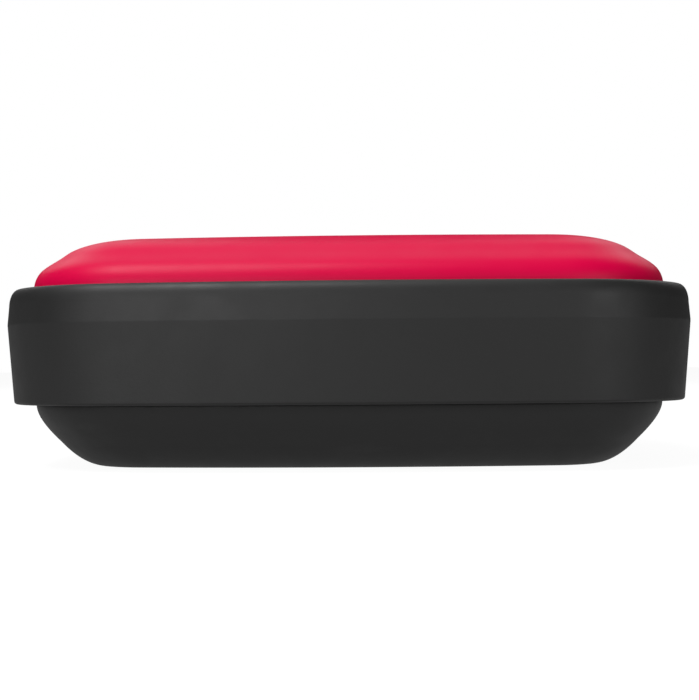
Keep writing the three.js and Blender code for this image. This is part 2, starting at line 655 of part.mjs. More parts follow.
function hingeParts() {
  const pin = crossPin(PIN_RADIUS, -PIN_HALF_LENGTH, PIN_HALF_LENGTH, HINGE_Y, HINGE_Z);
  const coilRadius = 1.0;
  const turns = 4.5;
  const halfWidth = 3.2;
  const legReach = 2.2;
  const points = [];
  for (let i = 0; i <= 3; i++) {
    points.push(new THREE.Vector3(-halfWidth, HINGE_Y + legReach * (1 - i / 4), HINGE_Z + coilRadius));
  }
  const stepsPerTurn = 10;
  const steps = turns * stepsPerTurn;
  for (let i = 0; i <= steps; i++) {
    const angle = Math.PI / 2 + (i / stepsPerTurn) * 2 * Math.PI;
    const x = -halfWidth + (2 * halfWidth * i) / steps;
    const y = HINGE_Y + coilRadius * Math.cos(angle);
    points.push(new THREE.Vector3(x, y, HINGE_Z + coilRadius * Math.sin(angle)));
  }
  for (let i = 1; i <= 4; i++) {
    points.push(new THREE.Vector3(halfWidth, HINGE_Y + (legReach * i) / 4, HINGE_Z - coilRadius));
  }
  return [
    meshOf("clip_pin", pin, STEEL),
    meshOf("clip_spring", wire(points, 0.2, 56, 6), STEEL),
  ];
}

// ---------------------------------------------------------------- assembly

const player = new THREE.Group();
player.add(
  frontCap(),
  frameBand(),
  capGasket(),
  backPlate(),
  ...caseScrews(),
  playKey(),
  ...Object.entries(RING_KEYS).map(([name, degrees]) => ringKey(name, degrees)),
  ...Object.entries(SMALL_KEYS).map(([name, x]) => smallKey(name, x)),
  keypadMembrane(),
  ...Object.entries(STEMS).map(([name, stem]) => switchDome(name, stem)),
  statusLightPipe(),
  mainBoard(),
  ...boardParts(),
  ...boardScrews(),
  headphoneJack(),
  ...usbSocket(),
  ...batteryPack(),
  clipShell(),
  gripPad("clip_grip_pad", 19, 2.8, 3.1, 3.1, 0.18),
  gripPad("body_grip_pad", 20, 3.42, 3.62, 3.49, 0.12),
  ...hingeParts(),
);

export default player;
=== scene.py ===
"""Looks of a clip-on digital audio player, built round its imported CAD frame.

Every length below is in millimetres of the row frame until a shape is made a piece, when it becomes metres.
"""

import functools
import json
import logging
import math
from dataclasses import dataclass
from enum import Enum
from typing import Callable, Iterable, Optional, Sequence

import bmesh
import bpy
from mathutils import Matrix, Vector

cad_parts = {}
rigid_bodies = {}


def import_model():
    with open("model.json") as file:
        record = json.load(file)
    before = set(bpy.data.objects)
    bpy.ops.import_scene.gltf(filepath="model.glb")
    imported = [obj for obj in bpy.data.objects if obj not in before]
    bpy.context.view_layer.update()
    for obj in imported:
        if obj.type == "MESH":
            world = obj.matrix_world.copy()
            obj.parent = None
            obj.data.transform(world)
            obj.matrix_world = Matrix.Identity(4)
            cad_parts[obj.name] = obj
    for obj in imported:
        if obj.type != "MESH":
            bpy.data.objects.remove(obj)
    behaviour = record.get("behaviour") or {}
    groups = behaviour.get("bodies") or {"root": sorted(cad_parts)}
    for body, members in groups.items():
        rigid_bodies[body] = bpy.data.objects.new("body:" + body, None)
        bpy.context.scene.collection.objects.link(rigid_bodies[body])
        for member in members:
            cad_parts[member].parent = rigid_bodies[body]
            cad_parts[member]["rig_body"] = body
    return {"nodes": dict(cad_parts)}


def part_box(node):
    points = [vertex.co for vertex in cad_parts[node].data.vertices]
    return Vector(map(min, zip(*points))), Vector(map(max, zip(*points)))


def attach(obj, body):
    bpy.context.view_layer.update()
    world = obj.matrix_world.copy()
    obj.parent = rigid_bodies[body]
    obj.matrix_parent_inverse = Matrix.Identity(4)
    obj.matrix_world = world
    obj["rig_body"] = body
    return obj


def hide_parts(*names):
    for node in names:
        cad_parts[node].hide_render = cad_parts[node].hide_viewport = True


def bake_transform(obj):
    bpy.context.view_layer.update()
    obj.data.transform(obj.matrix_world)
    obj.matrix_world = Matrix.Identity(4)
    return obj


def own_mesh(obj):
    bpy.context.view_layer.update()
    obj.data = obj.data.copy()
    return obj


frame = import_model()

LOG = logging.getLogger("player")
MM = 0.001
TURN = 2 * math.pi
WELD = 1e-4
Level = tuple[float, float]
Colour = tuple[float, float, float]
Point = tuple[float, float, float]
Place = tuple[float, float]

# Places that several sub-assemblies share, in millimetres.
# The sockets are given as X and Z, and the hinge as Y and Z.
JACK_AT: Place = (-5.8, 6.3)
USB_AT: Place = (4.8, 6.3)
HINGE: Place = (11.0, 2.1)
EAR_RADIUS = 1.15
GRIP_Y = -13.4
GRIP_RIBS = (-0.8, 0, 0.8)
POST_X = 15.1
CASE_SCREW_AT = 13.2
RING_KEY_AT = 8.2
SMALL_KEY_AT = 10.5
LIGHT_Y = -12.7
BOARD_TOP = 8.35
STEM_RADIUS = 0.9
STEM_FOOT = 8.82
SAME = 1e-3
SIDES = (-1, 1)


class Body(Enum):
    """The CAD bodies that pieces ride on."""

    PLAYER = "player_body"
    CLIP = "clip"
    PLAY = "play_button"
    NEXT = "next_button"
    VOLUME_UP = "volume_up_button"
    PREVIOUS = "previous_button"
    VOLUME_DOWN = "volume_down_button"
    PLAYLIST = "playlist_button"
    POWER = "power_button"


class Carving(Enum):
    """What a tool does to the shape it meets."""

    AWAY = "DIFFERENCE"
    ONTO = "UNION"


class Axis(Enum):
    """A row axis to lay a turned shape along."""

    X = "X"
    Y = "Y"
    Z = "Z"


# --------------------------------------------------------------------------------------- shaping


def shift(x: float = 0, y: float = 0, z: float = 0) -> Matrix:
    """A move, as a matrix."""
    return Matrix.Translation((x, y, z))


def spin(degrees: float, axis: str = "Z") -> Matrix:
    """A turn about an axis through the origin, as a matrix."""
    return Matrix.Rotation(math.radians(degrees), 4, axis)


def lay(axis: Axis) -> Matrix:
    """The turn that lays an upright shape along a row axis."""
    return {Axis.X: spin(90, "Y"), Axis.Y: spin(-90, "X"), Axis.Z: Matrix.Identity(4)}[axis]


AT_JACK = shift(JACK_AT[0], 0, JACK_AT[1])


class Shape:
    """A mesh that is shaped with bmesh operators, in millimetres."""

    def __init__(self) -> None:
        """Starts with nothing."""
        self.bm = bmesh.new()

    def circle(self, radius: float, z: float, segments: int, centre: Place = (0, 0)) -> list:
        """Draws a level circle.

        Args:
            radius: Its radius.
            z: Its height.
            segments: How many edges it has.
            centre: Its centre seen from above.

        Returns:
            Its edges.
        """
        made = bmesh.ops.create_circle(
            self.bm, cap_ends=False, radius=radius, segments=segments, matrix=shift(*centre, z)
        )
        return list({edge for vert in made["verts"] for edge in vert.link_edges})

    def lathe(
        self,
        profile: Sequence[Level],
        centre: Place = (0, 0),
        segments: int = 40,
        closed: bool = False,
    ) -> "Shape":
        """Turns a profile about an upright axis.

        Args:
            profile: Its points, each a radius and a height.
            centre: The axis seen from above.
            segments: How many steps a full turn has.
            closed: Whether the profile's last point joins its first, as in a ring.

        Returns:
            This shape.
        """
        x, y = centre
        verts = [self.bm.verts.new((x + radius, y, z)) for radius, z in profile]
        edges = [self.bm.edges.new(pair) for pair in zip(verts, verts[1:])]
        if closed:
            edges.append(self.bm.edges.new((verts[-1], verts[0])))
        bmesh.ops.spin(
            self.bm,
            geom=verts + edges,
            cent=(x, y, 0),
            axis=(0, 0, 1),
            angle=TURN,
            steps=segments,
            use_merge=True,
        )
        bmesh.ops.remove_doubles(self.bm, verts=self.bm.verts, dist=WELD)
        return self

    def block(self, low: Point, high: Point, edge: float = 0, segments: int = 2) -> "Shape":
        """Adds a box with softened edges.

        Args:
            low: Its lowest corner.
            high: Its highest corner.
            edge: How far its edges are rounded.
            segments: How many steps the rounding has.

        Returns:
            This shape.
        """
        lowest, highest = Vector(low), Vector(high)
        size = highest - lowest
        place = Matrix.Translation((lowest + highest) / 2) @ Matrix.Diagonal((*size, 1))
        made = bmesh.ops.create_cube(self.bm, size=1, matrix=place)
        if edge:
            self.soften({e for v in made["verts"] for e in v.link_edges}, edge, segments)
        return self

    def soften(self, edges: Iterable, amount: float, segments: int = 2) -> "Shape":
        """Rounds edges.

        Args:
            edges: The edges.
            amount: How far the rounding reaches.
            segments: How many steps it has.

        Returns:
            This shape.
        """
        bmesh.ops.bevel(
            self.bm,
            geom=list(edges),
            offset=amount,
            segments=segments,
            profile=0.5,
            affect="EDGES",
            material=-1,
            clamp_overlap=True,
        )
        return self

    def soften_where(self, test: Callable[[Vector, Vector], bool], amount: float, segments: int = 2) -> "Shape":
        """Rounds the edges whose two ends pass a test."""
        chosen = [e for e in self.bm.edges if test(e.verts[0].co, e.verts[1].co)]
        return self.soften(chosen, amount, segments)

    def raise_flat(self, ring: list, height: float) -> "Shape":
        """Fills a level ring and raises it into a solid.

        Args:
            ring: The ring's edges.
            height: How far up it goes.

        Returns:
            This shape.
        """
        face = bmesh.ops.edgeloop_fill(self.bm, edges=ring)["faces"]
        grown = bmesh.ops.extrude_face_region(self.bm, geom=face, use_keep_orig=True)
        raised = [item for item in grown["geom"] if isinstance(item, bmesh.types.BMVert)]
        bmesh.ops.translate(self.bm, verts=raised, vec=(0, 0, height))
        return self

    def add(self, other: "Shape", place: Optional[Matrix] = None) -> "Shape":
        """Puts another shape's faces beside this one's.

        Args:
            other: The other shape.
            place: Where it goes, as a matrix.

        Returns:
            This shape.
        """
        mesh = bpy.data.meshes.new("part")
        other.bm.to_mesh(mesh)
        if place is not None:
            mesh.transform(place)
        self.bm.from_mesh(mesh)
        bpy.data.meshes.remove(mesh)
        return self

    def moved(self, place: Matrix) -> "Shape":
        """Moves the whole shape."""
        bmesh.ops.transform(self.bm, matrix=place, verts=self.bm.verts)
        return self

    def tidy(self) -> "Shape":
        """Merges doubled points and turns every closed skin outwards."""
        bmesh.ops.remove_doubles(self.bm, verts=self.bm.verts, dist=WELD)
        bmesh.ops.recalc_face_normals(self.bm, faces=self.bm.faces)
        return self

    def loose_object(self) -> bpy.types.Object:
        """Makes a helper object of this shape, for carving."""
        self.tidy()
        mesh = bpy.data.meshes.new("helper")
        self.bm.to_mesh(mesh)
        helper = bpy.data.objects.new("helper", mesh)
        bpy.context.scene.collection.objects.link(helper)
        return helper

    def carve(self, *tools: "Shape", how: Carving = Carving.AWAY) -> "Shape":
        """Cuts tools out of this shape, or joins them to it.

        Args:
            tools: The shapes that do it, in order.
            how: What each one does.

        Returns:
            This shape.
        """
        body = self.loose_object()
        helpers = [tool.loose_object() for tool in tools]
        for helper in helpers:
            step = body.modifiers.new("carve", "BOOLEAN")
            step.object = helper
            step.operation = how.value
            step.solver = "EXACT"
        view = bpy.context.evaluated_depsgraph_get()
        carved = bpy.data.meshes.new_from_object(body.evaluated_get(view))
        self.bm = bmesh.new()
        self.bm.from_mesh(carved)
        bpy.data.meshes.remove(carved)
        for helper in [body, *helpers]:
            mesh = helper.data
            bpy.data.objects.remove(helper)
            bpy.data.meshes.remove(mesh)
        return self


Draw = Callable[[Shape], list]


def skin(draws: Sequence[Draw], closed: bool = False) -> Shape:
    """Joins rings into a skin. Each strip is bridged on its own, so that no strip turns its neighbour.

    Args:
        draws: For each ring, in order, a call that draws it in a shape and returns its edges.
        closed: Whether the last ring joins the first, as round a hollow body. Otherwise both ends are filled.

    Returns:
        The skin.
    """
    whole = Shape()
    for lower, upper in zip(draws, [*draws[1:], draws[0]] if closed else draws[1:]):
        strip = Shape()
        bmesh.ops.bridge_loops(strip.bm, edges=lower(strip) + upper(strip))
        whole.add(strip)
    for end in () if closed else (draws[0], draws[-1]):
        lid = Shape()
        bmesh.ops.edgeloop_fill(lid.bm, edges=end(lid))
        whole.add(lid)
    return whole.tidy()


def solid_block(low: Point, high: Point, edge: float = 0, segments: int = 2) -> Shape:
    """A new shape that is one softened box."""
    return Shape().block(low, high, edge, segments)


def rod(
    radius: float, start: float, end: float, at: Place, axis: Axis, edge: float = 0, segments: int = 32
) -> Shape:
    """A round bar with softened ends.

    Args:
        radius: Its radius.
        start: Where it starts along its axis.
        end: Where it ends.
        at: The other two coordinates of its axis, in X, Y, Z order.
        axis: The row axis that it lies along.
        edge: How far its end edges are cut back.
        segments: How many sides it has.

    Returns:
        The bar.
    """
    profile = [(0, start), (radius - edge, start), (radius, start + edge), (radius, end - edge)]
    profile += [(radius - edge, end), (0, end)]
    place = {
        Axis.X: shift(0, at[0], at[1]),
        Axis.Y: shift(at[0], 0, at[1]),
        Axis.Z: shift(at[0], at[1], 0),
    }[axis]
    if not edge:
        profile = [(0, start), (radius, start), (radius, end), (0, end)]
    return Shape().lathe(profile, segments=segments).moved(place @ lay(axis))


def oblong(width: float, height: float, start: float, end: float, at: Place, flare: float = 0) -> Shape:
    """A bar along Y with a rounded-rectangle section, which may widen towards its far end.

    Args:
        width: The section's width along X.
        height: The section's height.
        start: Where it starts along Y.
        end: Where it ends.
        at: The section's centre in X and Z.
        flare: How much each side widens at the far end.

    Returns:
        The bar.
    """
    bar = solid_block((-width / 2, start, -height / 2), (width / 2, end, height / 2))
    bar.soften_where(lambda a, b: abs(a.y - b.y) > SAME, height * 0.42, 6)
    if flare:
        far = [v for v in bar.bm.verts if v.co.y > end - SAME]
        wide = (1 + 2 * flare / width, 1, 1 + 2 * flare / height)
        bmesh.ops.scale(bar.bm, vec=wide, verts=far)
    return bar.moved(shift(at[0], 0, at[1]))


def hinge_eye(near: float, far: float, bottom: float, top: float, ease: float = 0) -> Shape:
    """A round eye on the clip's hinge, run into the block that carries it.

    Args:
        near: Where it starts along X.
        far: Where it ends along X.
        bottom: The lowest height of the block.
        top: The highest height of the block.
        ease: The bevel round the eye's ends.

    Returns:
        The shape.
    """
    y, z = HINGE
    block = solid_block((near, y - EAR_RADIUS, bottom), (far, y + EAR_RADIUS, top))
    return rod(EAR_RADIUS, near, far, (y, z), Axis.X, ease, 48).carve(block, how=Carving.ONTO)


def grip_pad(half: float, bottom: float, top: float, ease: float, rib: float, rib_z: float) -> Shape:
    """A long rubber pad with three ribs.

    Args:
        half: Half its length.
        bottom: The height of its underside.
        top: The height of its upper face.
        ease: The bevel along its edges.
        rib: The radius of a rib.
        rib_z: The height of the ribs' axes.

    Returns:
        The shape.
    """
    reach, margin = 1.2, 0.5
    pad = solid_block((-half, GRIP_Y - reach, bottom), (half, GRIP_Y + reach, top), ease, 2)
    for offset in GRIP_RIBS:
        pad.add(rod(rib, margin - half, half - margin, (GRIP_Y + offset, rib_z), Axis.X, rib / 3, 16))
    return pad


def threads(core: float, crest: float, slope: float, heights: list[float]) -> list[Place]:
    """The outline of a screw's threads, as radii and heights.

    Args:
        core: The radius between two threads.
        crest: The radius over a thread.
        slope: The height over which a thread rises.
        heights: Where each thread starts.

    Returns:
        The outline's points.
    """
    land = 0.04
    return [p for z in heights for p in ((core, z), (crest, z + slope), (crest, z + slope + land))]


def cross(at: Place, low: float, high: float, long: float, short: float) -> list[Shape]:
    """The two bars that cut a screw's cross recess.

    Args:
        at: The screw's place.
        low: The height that the bars start at.
        high: The height that the recess ends at.
        long: Half the length of a bar.
        short: Half the width of a bar.

    Returns:
        The two bars.
    """
    x, y = at
    return [solid_block((x - a, y - b, low), (x + a, y + b, high)) for a, b in ((long, short), (short, long))]


def ellipse_edge(z: float, inset: float, rise: float, depth: float, steps: int) -> list[Level]:
    """Levels of a quarter-ellipse edge, upright where it starts.

    Args:
        z: The height where it starts.
        inset: The inset where it starts.
        rise: How far it goes up, or down if negative.
        depth: How far it reaches in.
        steps: How many steps it has.

    Returns:
        The levels, each a height and an inset.
    """
    angles = [step / steps * math.pi / 2 for step in range(steps + 1)]
    return [(z + rise * math.sin(a), inset + depth * (1 - math.cos(a))) for a in angles]


def shoulder_edge(rim: float, inset: float, height: float, depth: float, steps: int) -> list[Level]:
    """Levels of the clip's edge downwards from its rim: upright, then a shoulder, then level.

    Args:
        rim: The height of the rim.
        inset: The rim's inset.
        height: How far down the edge goes.
        depth: How far in the edge goes.
        steps: How many levels each half of the edge has.

    Returns:
        The levels, from the rim down.
    """

    def curve(a: Level, b: Level, c: Level, t: float) -> Level:
        """A point on a quadratic curve."""
        weights = ((1 - t) ** 2, 2 * t * (1 - t), t * t)
        return tuple(sum(w * p[i] for w, p in zip(weights, (a, b, c))) for i in (0, 1))

    shares = [step / steps for step in range(steps + 1)]
    points = [curve((0, 0), (0, 0.22), (0.29, 0.6), t) for t in shares]
    points += [curve((0.29, 0.6), (0.56, 1), (0.82, 1), t) for t in shares[1:]]
    return [(rim - height * down, inset + depth * along) for along, down in points]


@dataclass(frozen=True)
class BowedSquare:
    """The body's plan: a rounded square whose four sides bow outwards."""

    half: float = 19.0
    side_radius: float = 89.0
    corner_radius: float = 7.8
    side_steps: int = 22
    corner_steps: int = 16

    @property
    def side_centre(self) -> float:
        """How far behind the middle the centre of each side's arc lies."""
        return self.side_radius - self.half

    @property
    def corner_centre(self) -> float:
        """How far along X and Y each corner arc's centre lies."""
        reach = self.side_radius - self.corner_radius
        return (-self.side_centre + math.sqrt(2 * reach**2 - self.side_centre**2)) / 2

    @property
    def side_angle(self) -> float:
        """Half the angle that each side's arc spans."""
        return math.atan2(self.corner_centre, self.corner_centre + self.side_centre)

    @property
    def count(self) -> int:
        """How many points a ring has."""
        return 4 * (self.side_steps + self.corner_steps)

    def ring(self, shape: Shape, z: float, inset: float) -> list:
        """Draws the outline, moved inwards, by spinning a point round each arc in turn.

        Args:
            shape: The shape that it is drawn in.
            z: Its height.
            inset: How far inside the widest outline it lies.

        Returns:
            Its edges.
        """
        bm = shape.bm
        before = set(bm.edges)
        angle = self.side_angle
        start = Vector(
            (
                -self.side_centre + (self.side_radius - inset) * math.cos(angle),
                -(self.side_radius - inset) * math.sin(angle),
                z,
            )
        )
        pen = bm.verts.new(start)
        first = pen
        for quarter in range(4):
            turn = Matrix.Rotation(quarter * math.pi / 2, 3, "Z")
            side = turn @ Vector((-self.side_centre, 0, z))
            corner = turn @ Vector((self.corner_centre, self.corner_centre, z))
            for centre, span, steps in (
                (side, 2 * angle, self.side_steps),
                (corner, math.pi / 2 - 2 * angle, self.corner_steps),
            ):
                made = bmesh.ops.spin(bm, geom=[pen], cent=centre, axis=(0, 0, 1), angle=span, steps=steps)
                pen = next(item for item in made["geom_last"] if isinstance(item, bmesh.types.BMVert))
        bmesh.ops.weld_verts(bm, targetmap={pen: first})
        return [edge for edge in bm.edges if edge not in before]

    def draws(self, levels: Sequence[Level]) -> list[Draw]:
        """The calls that draw the outline at several levels, each a height and an inset."""
        return [functools.partial(self.ring, z=z, inset=inset) for z, inset in levels]

    def loft(self, levels: Sequence[Level], closed: bool = False) -> Shape:
        """Joins the outline at several levels into a skin, filled at both ends unless it is closed on itself."""
        return skin(self.draws(levels), closed)


PLAN = BowedSquare()


# --------------------------------------------------------------------------------------- finishes


class NodeSheet:
    """A material's node tree, with short calls that add nodes and join them."""

    def __init__(self, name: str) -> None:
        """Starts a material with one shader.

        Args:
            name: The material's name.
        """
        self.material = bpy.data.materials.new(name)
        self.material.use_nodes = True
        self.tree = self.material.node_tree
        self.tree.nodes.clear()
        self.shader = self.tree.nodes.new("ShaderNodeBsdfPrincipled")
        end = self.tree.nodes.new("ShaderNodeOutputMaterial")
        self.join(self.shader.outputs[0], end.inputs["Surface"])
        self.where = self.tree.nodes.new("ShaderNodeTexCoord").outputs["Object"]

    def join(self, source: bpy.types.NodeSocket, target: bpy.types.NodeSocket) -> None:
        """Links an output to an input."""
        self.tree.links.new(source, target)

    def give(self, **values: object) -> None:
        """Sets or links the shader's sockets, named with underscores for spaces."""
        for key, value in values.items():
            socket = self.shader.inputs[key.replace("_", " ")]
            if isinstance(value, bpy.types.NodeSocket):
                self.join(value, socket)
            else:
                socket.default_value = value

    def coordinates(self, stretch: Point = (1, 1, 1)) -> bpy.types.NodeSocket:
        """Object coordinates in millimetres, stretched along each axis."""
        node = self.tree.nodes.new("ShaderNodeMapping")
        node.inputs["Scale"].default_value = [s / MM for s in stretch]
        self.join(self.where, node.inputs["Vector"])
        return node.outputs[0]

    def noise(self, size: float, detail: float = 2, stretch: Point = (1, 1, 1)) -> bpy.types.NodeSocket:
        """Cloudy noise.

        Args:
            size: The size of its clouds in millimetres.
            detail: How much finer noise it holds.
            stretch: How it is squeezed along each axis.

        Returns:
            A socket from 0 to 1.
        """
        node = self.tree.nodes.new("ShaderNodeTexNoise")
        node.inputs["Scale"].default_value = 1 / size
        node.inputs["Detail"].default_value = detail
        self.join(self.coordinates(stretch), node.inputs["Vector"])
        return node.outputs["Fac"]

    def cells(self, size: float, stretch: Point = (1, 1, 1)) -> bpy.types.NodeSocket:
        """Distance to the nearest cell centre, for pits and grains of a size in millimetres."""
        node = self.tree.nodes.new("ShaderNodeTexVoronoi")
        node.inputs["Scale"].default_value = 1 / size
        self.join(self.coordinates(stretch), node.inputs["Vector"])
        return node.outputs["Distance"]

    def edges(self) -> bpy.types.NodeSocket:
        """How sharply the surface stands out, about a half where it is flat."""
        return self.tree.nodes.new("ShaderNodeNewGeometry").outputs["Pointiness"]

    def span(self, source: bpy.types.NodeSocket, old: Level, new: Level) -> bpy.types.NodeSocket:
        """Maps a range of values to another, clamped."""
        node = self.tree.nodes.new("ShaderNodeMapRange")
        for key, value in zip(("From Min", "From Max", "To Min", "To Max"), (*old, *new)):
            node.inputs[key].default_value = value
        self.join(source, node.inputs["Value"])
        return node.outputs[0]

    def times(self, a: bpy.types.NodeSocket, b: bpy.types.NodeSocket) -> bpy.types.NodeSocket:
        """One value times another."""
        node = self.tree.nodes.new("ShaderNodeMath")
        node.operation = "MULTIPLY"
        self.join(a, node.inputs[0])
        self.join(b, node.inputs[1])
        return node.outputs[0]

    def blend(self, share: bpy.types.NodeSocket, first: object, second: object) -> bpy.types.NodeSocket:
        """Mixes two colours, each a colour or a socket."""
        node = self.tree.nodes.new("ShaderNodeMix")
        node.data_type = "RGBA"
        self.join(share, node.inputs[0])
        for socket, value in ((node.inputs[6], first), (node.inputs[7], second)):
            if isinstance(value, bpy.types.NodeSocket):
                self.join(value, socket)
            else:
                socket.default_value = (*value, 1)
        return node.outputs[2]

    def relief(
        self, height: bpy.types.NodeSocket, depth: float, strength: float = 1, over: object = None
    ) -> bpy.types.NodeSocket:
        """Bumps the surface.

        Args:
            height: The height, from 0 to 1.
            depth: The height's real size in millimetres.
            strength: How much of it shows.
            over: Another relief that it lies on.

        Returns:
            The bumped normal.
        """
        node = self.tree.nodes.new("ShaderNodeBump")
        node.inputs["Distance"].default_value = depth * MM
        node.inputs["Strength"].default_value = strength
        self.join(height, node.inputs["Height"])
        if over is not None:
            self.join(over, node.inputs["Normal"])
        return node.outputs[0]


def tinted(colour: Colour, by: float) -> Colour:
    """A colour made lighter or darker by a share."""
    return tuple(max(0.0, min(1.0, c * (1 + by))) for c in colour)


@dataclass(frozen=True)
class Moulding:
    """Moulded plastic or rubber: a fine spark-eroded grain, soft clouds of tone, and convex edges painted lighter,
    partly as wear and partly as a painted highlight.
    """

    name: str
    slot: str
    colour: Colour
    roughness: float = 0.5
    specular: float = 0.5
    grain: float = 0.11
    relief: float = 0.0025
    cloud: float = 0.06
    # The colour and share of the lighter convex edges: partly wear, partly a painted highlight.
    edge_highlight_and_wear_colour: Colour = (0.1, 0.1, 0.1)
    edge_highlight_and_wear_share: float = 0.25

    def dress(self, sheet: NodeSheet) -> None:
        """Fills in the material's nodes."""
        cloud = sheet.noise(5.0, 3)
        tone = sheet.blend(cloud, tinted(self.colour, -self.cloud), tinted(self.colour, self.cloud))
        # Convex edges are painted lighter, broken up by noise: partly wear, partly a painted highlight along rims such
        # as the band's top edge.
        edge_highlight_and_wear = sheet.times(sheet.span(sheet.edges(), (0.53, 0.62), (0, self.edge_highlight_and_wear_share)), sheet.noise(0.7, 4))
        sheet.give(
            Base_Color=sheet.blend(edge_highlight_and_wear, tone, self.edge_highlight_and_wear_colour),
            Roughness=sheet.span(sheet.noise(1.6, 4), (0.3, 0.7), (self.roughness - 0.04, self.roughness + 0.05)),
            Specular_IOR_Level=self.specular,
        )
        pits = sheet.relief(sheet.cells(self.grain), self.relief, 0.7)
        sheet.give(Normal=sheet.relief(sheet.noise(self.grain * 2.4, 3), self.relief * 2, 0.5, pits))


@dataclass(frozen=True)
class Metal:
    """Drawn or brushed metal: fine streaks along one axis and faint stains."""

    name: str
    slot: str
    colour: Colour
    roughness: float = 0.28
    streaks: Point = (1.0, 14.0, 14.0)
    relief: float = 0.0012

    def dress(self, sheet: NodeSheet) -> None:
        """Fills in the material's nodes."""
        streak = sheet.noise(0.6, 4, self.streaks)
        stain = sheet.noise(2.2, 3)
        sheet.give(
            Base_Color=sheet.blend(stain, tinted(self.colour, -0.16), tinted(self.colour, 0.1)),
            Metallic=1.0,
            Roughness=sheet.span(streak, (0.3, 0.7), (self.roughness - 0.08, self.roughness + 0.12)),
            Normal=sheet.relief(streak, self.relief, 0.6),
        )


@dataclass(frozen=True)
class SolderMask:
    """A circuit board: green mask with the paths of the copper showing through it."""

    name: str
    slot: str
    colour: Colour
    copper: Colour
    roughness: float = 0.32

    def dress(self, sheet: NodeSheet) -> None:
        """Fills in the material's nodes."""
        node = sheet.tree.nodes.new("ShaderNodeTexVoronoi")
        node.feature = "DISTANCE_TO_EDGE"
        node.inputs["Scale"].default_value = 0.7
        node.inputs["Randomness"].default_value = 0.55
        sheet.join(sheet.coordinates((1, 1, 0.02)), node.inputs["Vector"])
        track = sheet.span(node.outputs["Distance"], (0.035, 0.06), (1, 0))
        vias = sheet.span(sheet.cells(1.3, (1, 1, 0.02)), (0.1, 0.13), (1, 0))
        masked = sheet.blend(track, self.colour, self.copper)
        sheet.give(
            Base_Color=sheet.blend(vias, masked, (0.5, 0.36, 0.12)),
            Roughness=sheet.span(sheet.noise(1.2, 3), (0.3, 0.7), (self.roughness - 0.06, self.roughness + 0.08)),
            Coat_Weight=0.3,
            Coat_Roughness=0.2,
            Normal=sheet.relief(track, 0.02, 0.5),
        )


@dataclass(frozen=True)
class Foil:
    """The battery's laminated pouch: dull aluminium with shallow wrinkles, its colour painted darker in the wrinkles'
    troughs and lighter on their crests as painted shade and light.
    """

    name: str
    slot: str
    colour: Colour
    roughness: float = 0.36

    def dress(self, sheet: NodeSheet) -> None:
        """Fills in the material's nodes."""
        wrinkle_and_painted_shade = sheet.noise(3.2, 4, (1, 2.2, 1))
        fine = sheet.noise(0.25, 2)
        sheet.give(
            # The colour follows the wrinkles: painted shade in their troughs, painted light on their crests.
            Base_Color=sheet.blend(wrinkle_and_painted_shade, tinted(self.colour, -0.1), tinted(self.colour, 0.12)),
            Metallic=0.85,
            Roughness=sheet.span(fine, (0.3, 0.7), (self.roughness - 0.06, self.roughness + 0.1)),
            Normal=sheet.relief(fine, 0.004, 0.5, sheet.relief(wrinkle_and_painted_shade, 0.12, 0.6)),
        )


@dataclass(frozen=True)
class Clear:
    """Translucent silicone or plastic with a faint haze."""

    name: str
    slot: str
    colour: Colour
    roughness: float = 0.3
    passing: float = 0.6

    def dress(self, sheet: NodeSheet) -> None:
        """Fills in the material's nodes."""
        haze = sheet.noise(1.8, 3)
        sheet.give(
            Base_Color=sheet.blend(haze, tinted(self.colour, -0.08), self.colour),
            Roughness=sheet.span(haze, (0.3, 0.7), (self.roughness, self.roughness + 0.12)),
            Transmission_Weight=self.passing,
            IOR=1.45,
            Normal=sheet.relief(sheet.noise(0.3, 2), 0.003, 0.4),
        )


Finish = Moulding | Metal | SolderMask | Foil | Clear

RED = Moulding(
    "crimson_soft_touch",
    "red_soft_touch",
    (0.765, 0.0, 0.062),
    roughness=0.42,
    specular=0.16,
    relief=0.0012,
    cloud=0.02,
    # The pale pink on the edges is partly wear and partly a painted highlight.
    edge_highlight_and_wear_colour=(0.8, 0.12, 0.18),
    edge_highlight_and_wear_share=0.12,
)
BLACK = Moulding(
    "black_fine_matt",
    "black_plastic",
    (0.0195, 0.0195, 0.0195),
    roughness=0.5,
    specular=0.4,
    cloud=0.03,
    # The grey on the edges is partly wear and partly a painted highlight, such as along the band's top rim.
    edge_highlight_and_wear_colour=(0.06, 0.06, 0.06),
    edge_highlight_and_wear_share=0.15,
)
RUBBER = Moulding("black_rubber", "black_rubber", (0.012, 0.012, 0.013), 0.8, 0.3, 0.2, 0.004, edge_highlight_and_wear_share=0.1)
PRINT = Moulding("white_pad_print", "red_soft_touch", (0.78, 0.76, 0.76), 0.5, 0.4, 0.08, 0.001, 0.03, edge_highlight_and_wear_share=0.0)
EPOXY = Moulding("chip_epoxy", "black_moulding", (0.018, 0.018, 0.02), 0.55, 0.45, 0.06, 0.002)
NYLON = Moulding("white_nylon", "white_nylon", (0.74, 0.71, 0.62), 0.45, 0.5, 0.1, 0.0015, edge_highlight_and_wear_colour=(0.8, 0.8, 0.75))
CERAMIC = Moulding("cream_ceramic", "cream_ceramic", (0.66, 0.6, 0.46), 0.4, 0.5, 0.08, 0.002, 0.08)
LEAD_RED = Moulding("red_insulation", "red_lead", (0.55, 0.012, 0.012), 0.35, 0.5, 0.2, 0.001)
LEAD_BLACK = Moulding("black_insulation", "black_lead", (0.014, 0.014, 0.014), 0.35, 0.5, 0.2, 0.001)
SILICONE = Clear("clear_silicone", "clear_silicone", (0.2, 0.2, 0.21), 0.45, 0.35)
LENS = Clear("clear_light_pipe", "clear_plastic", (0.92, 0.93, 0.94), 0.12, 0.8)
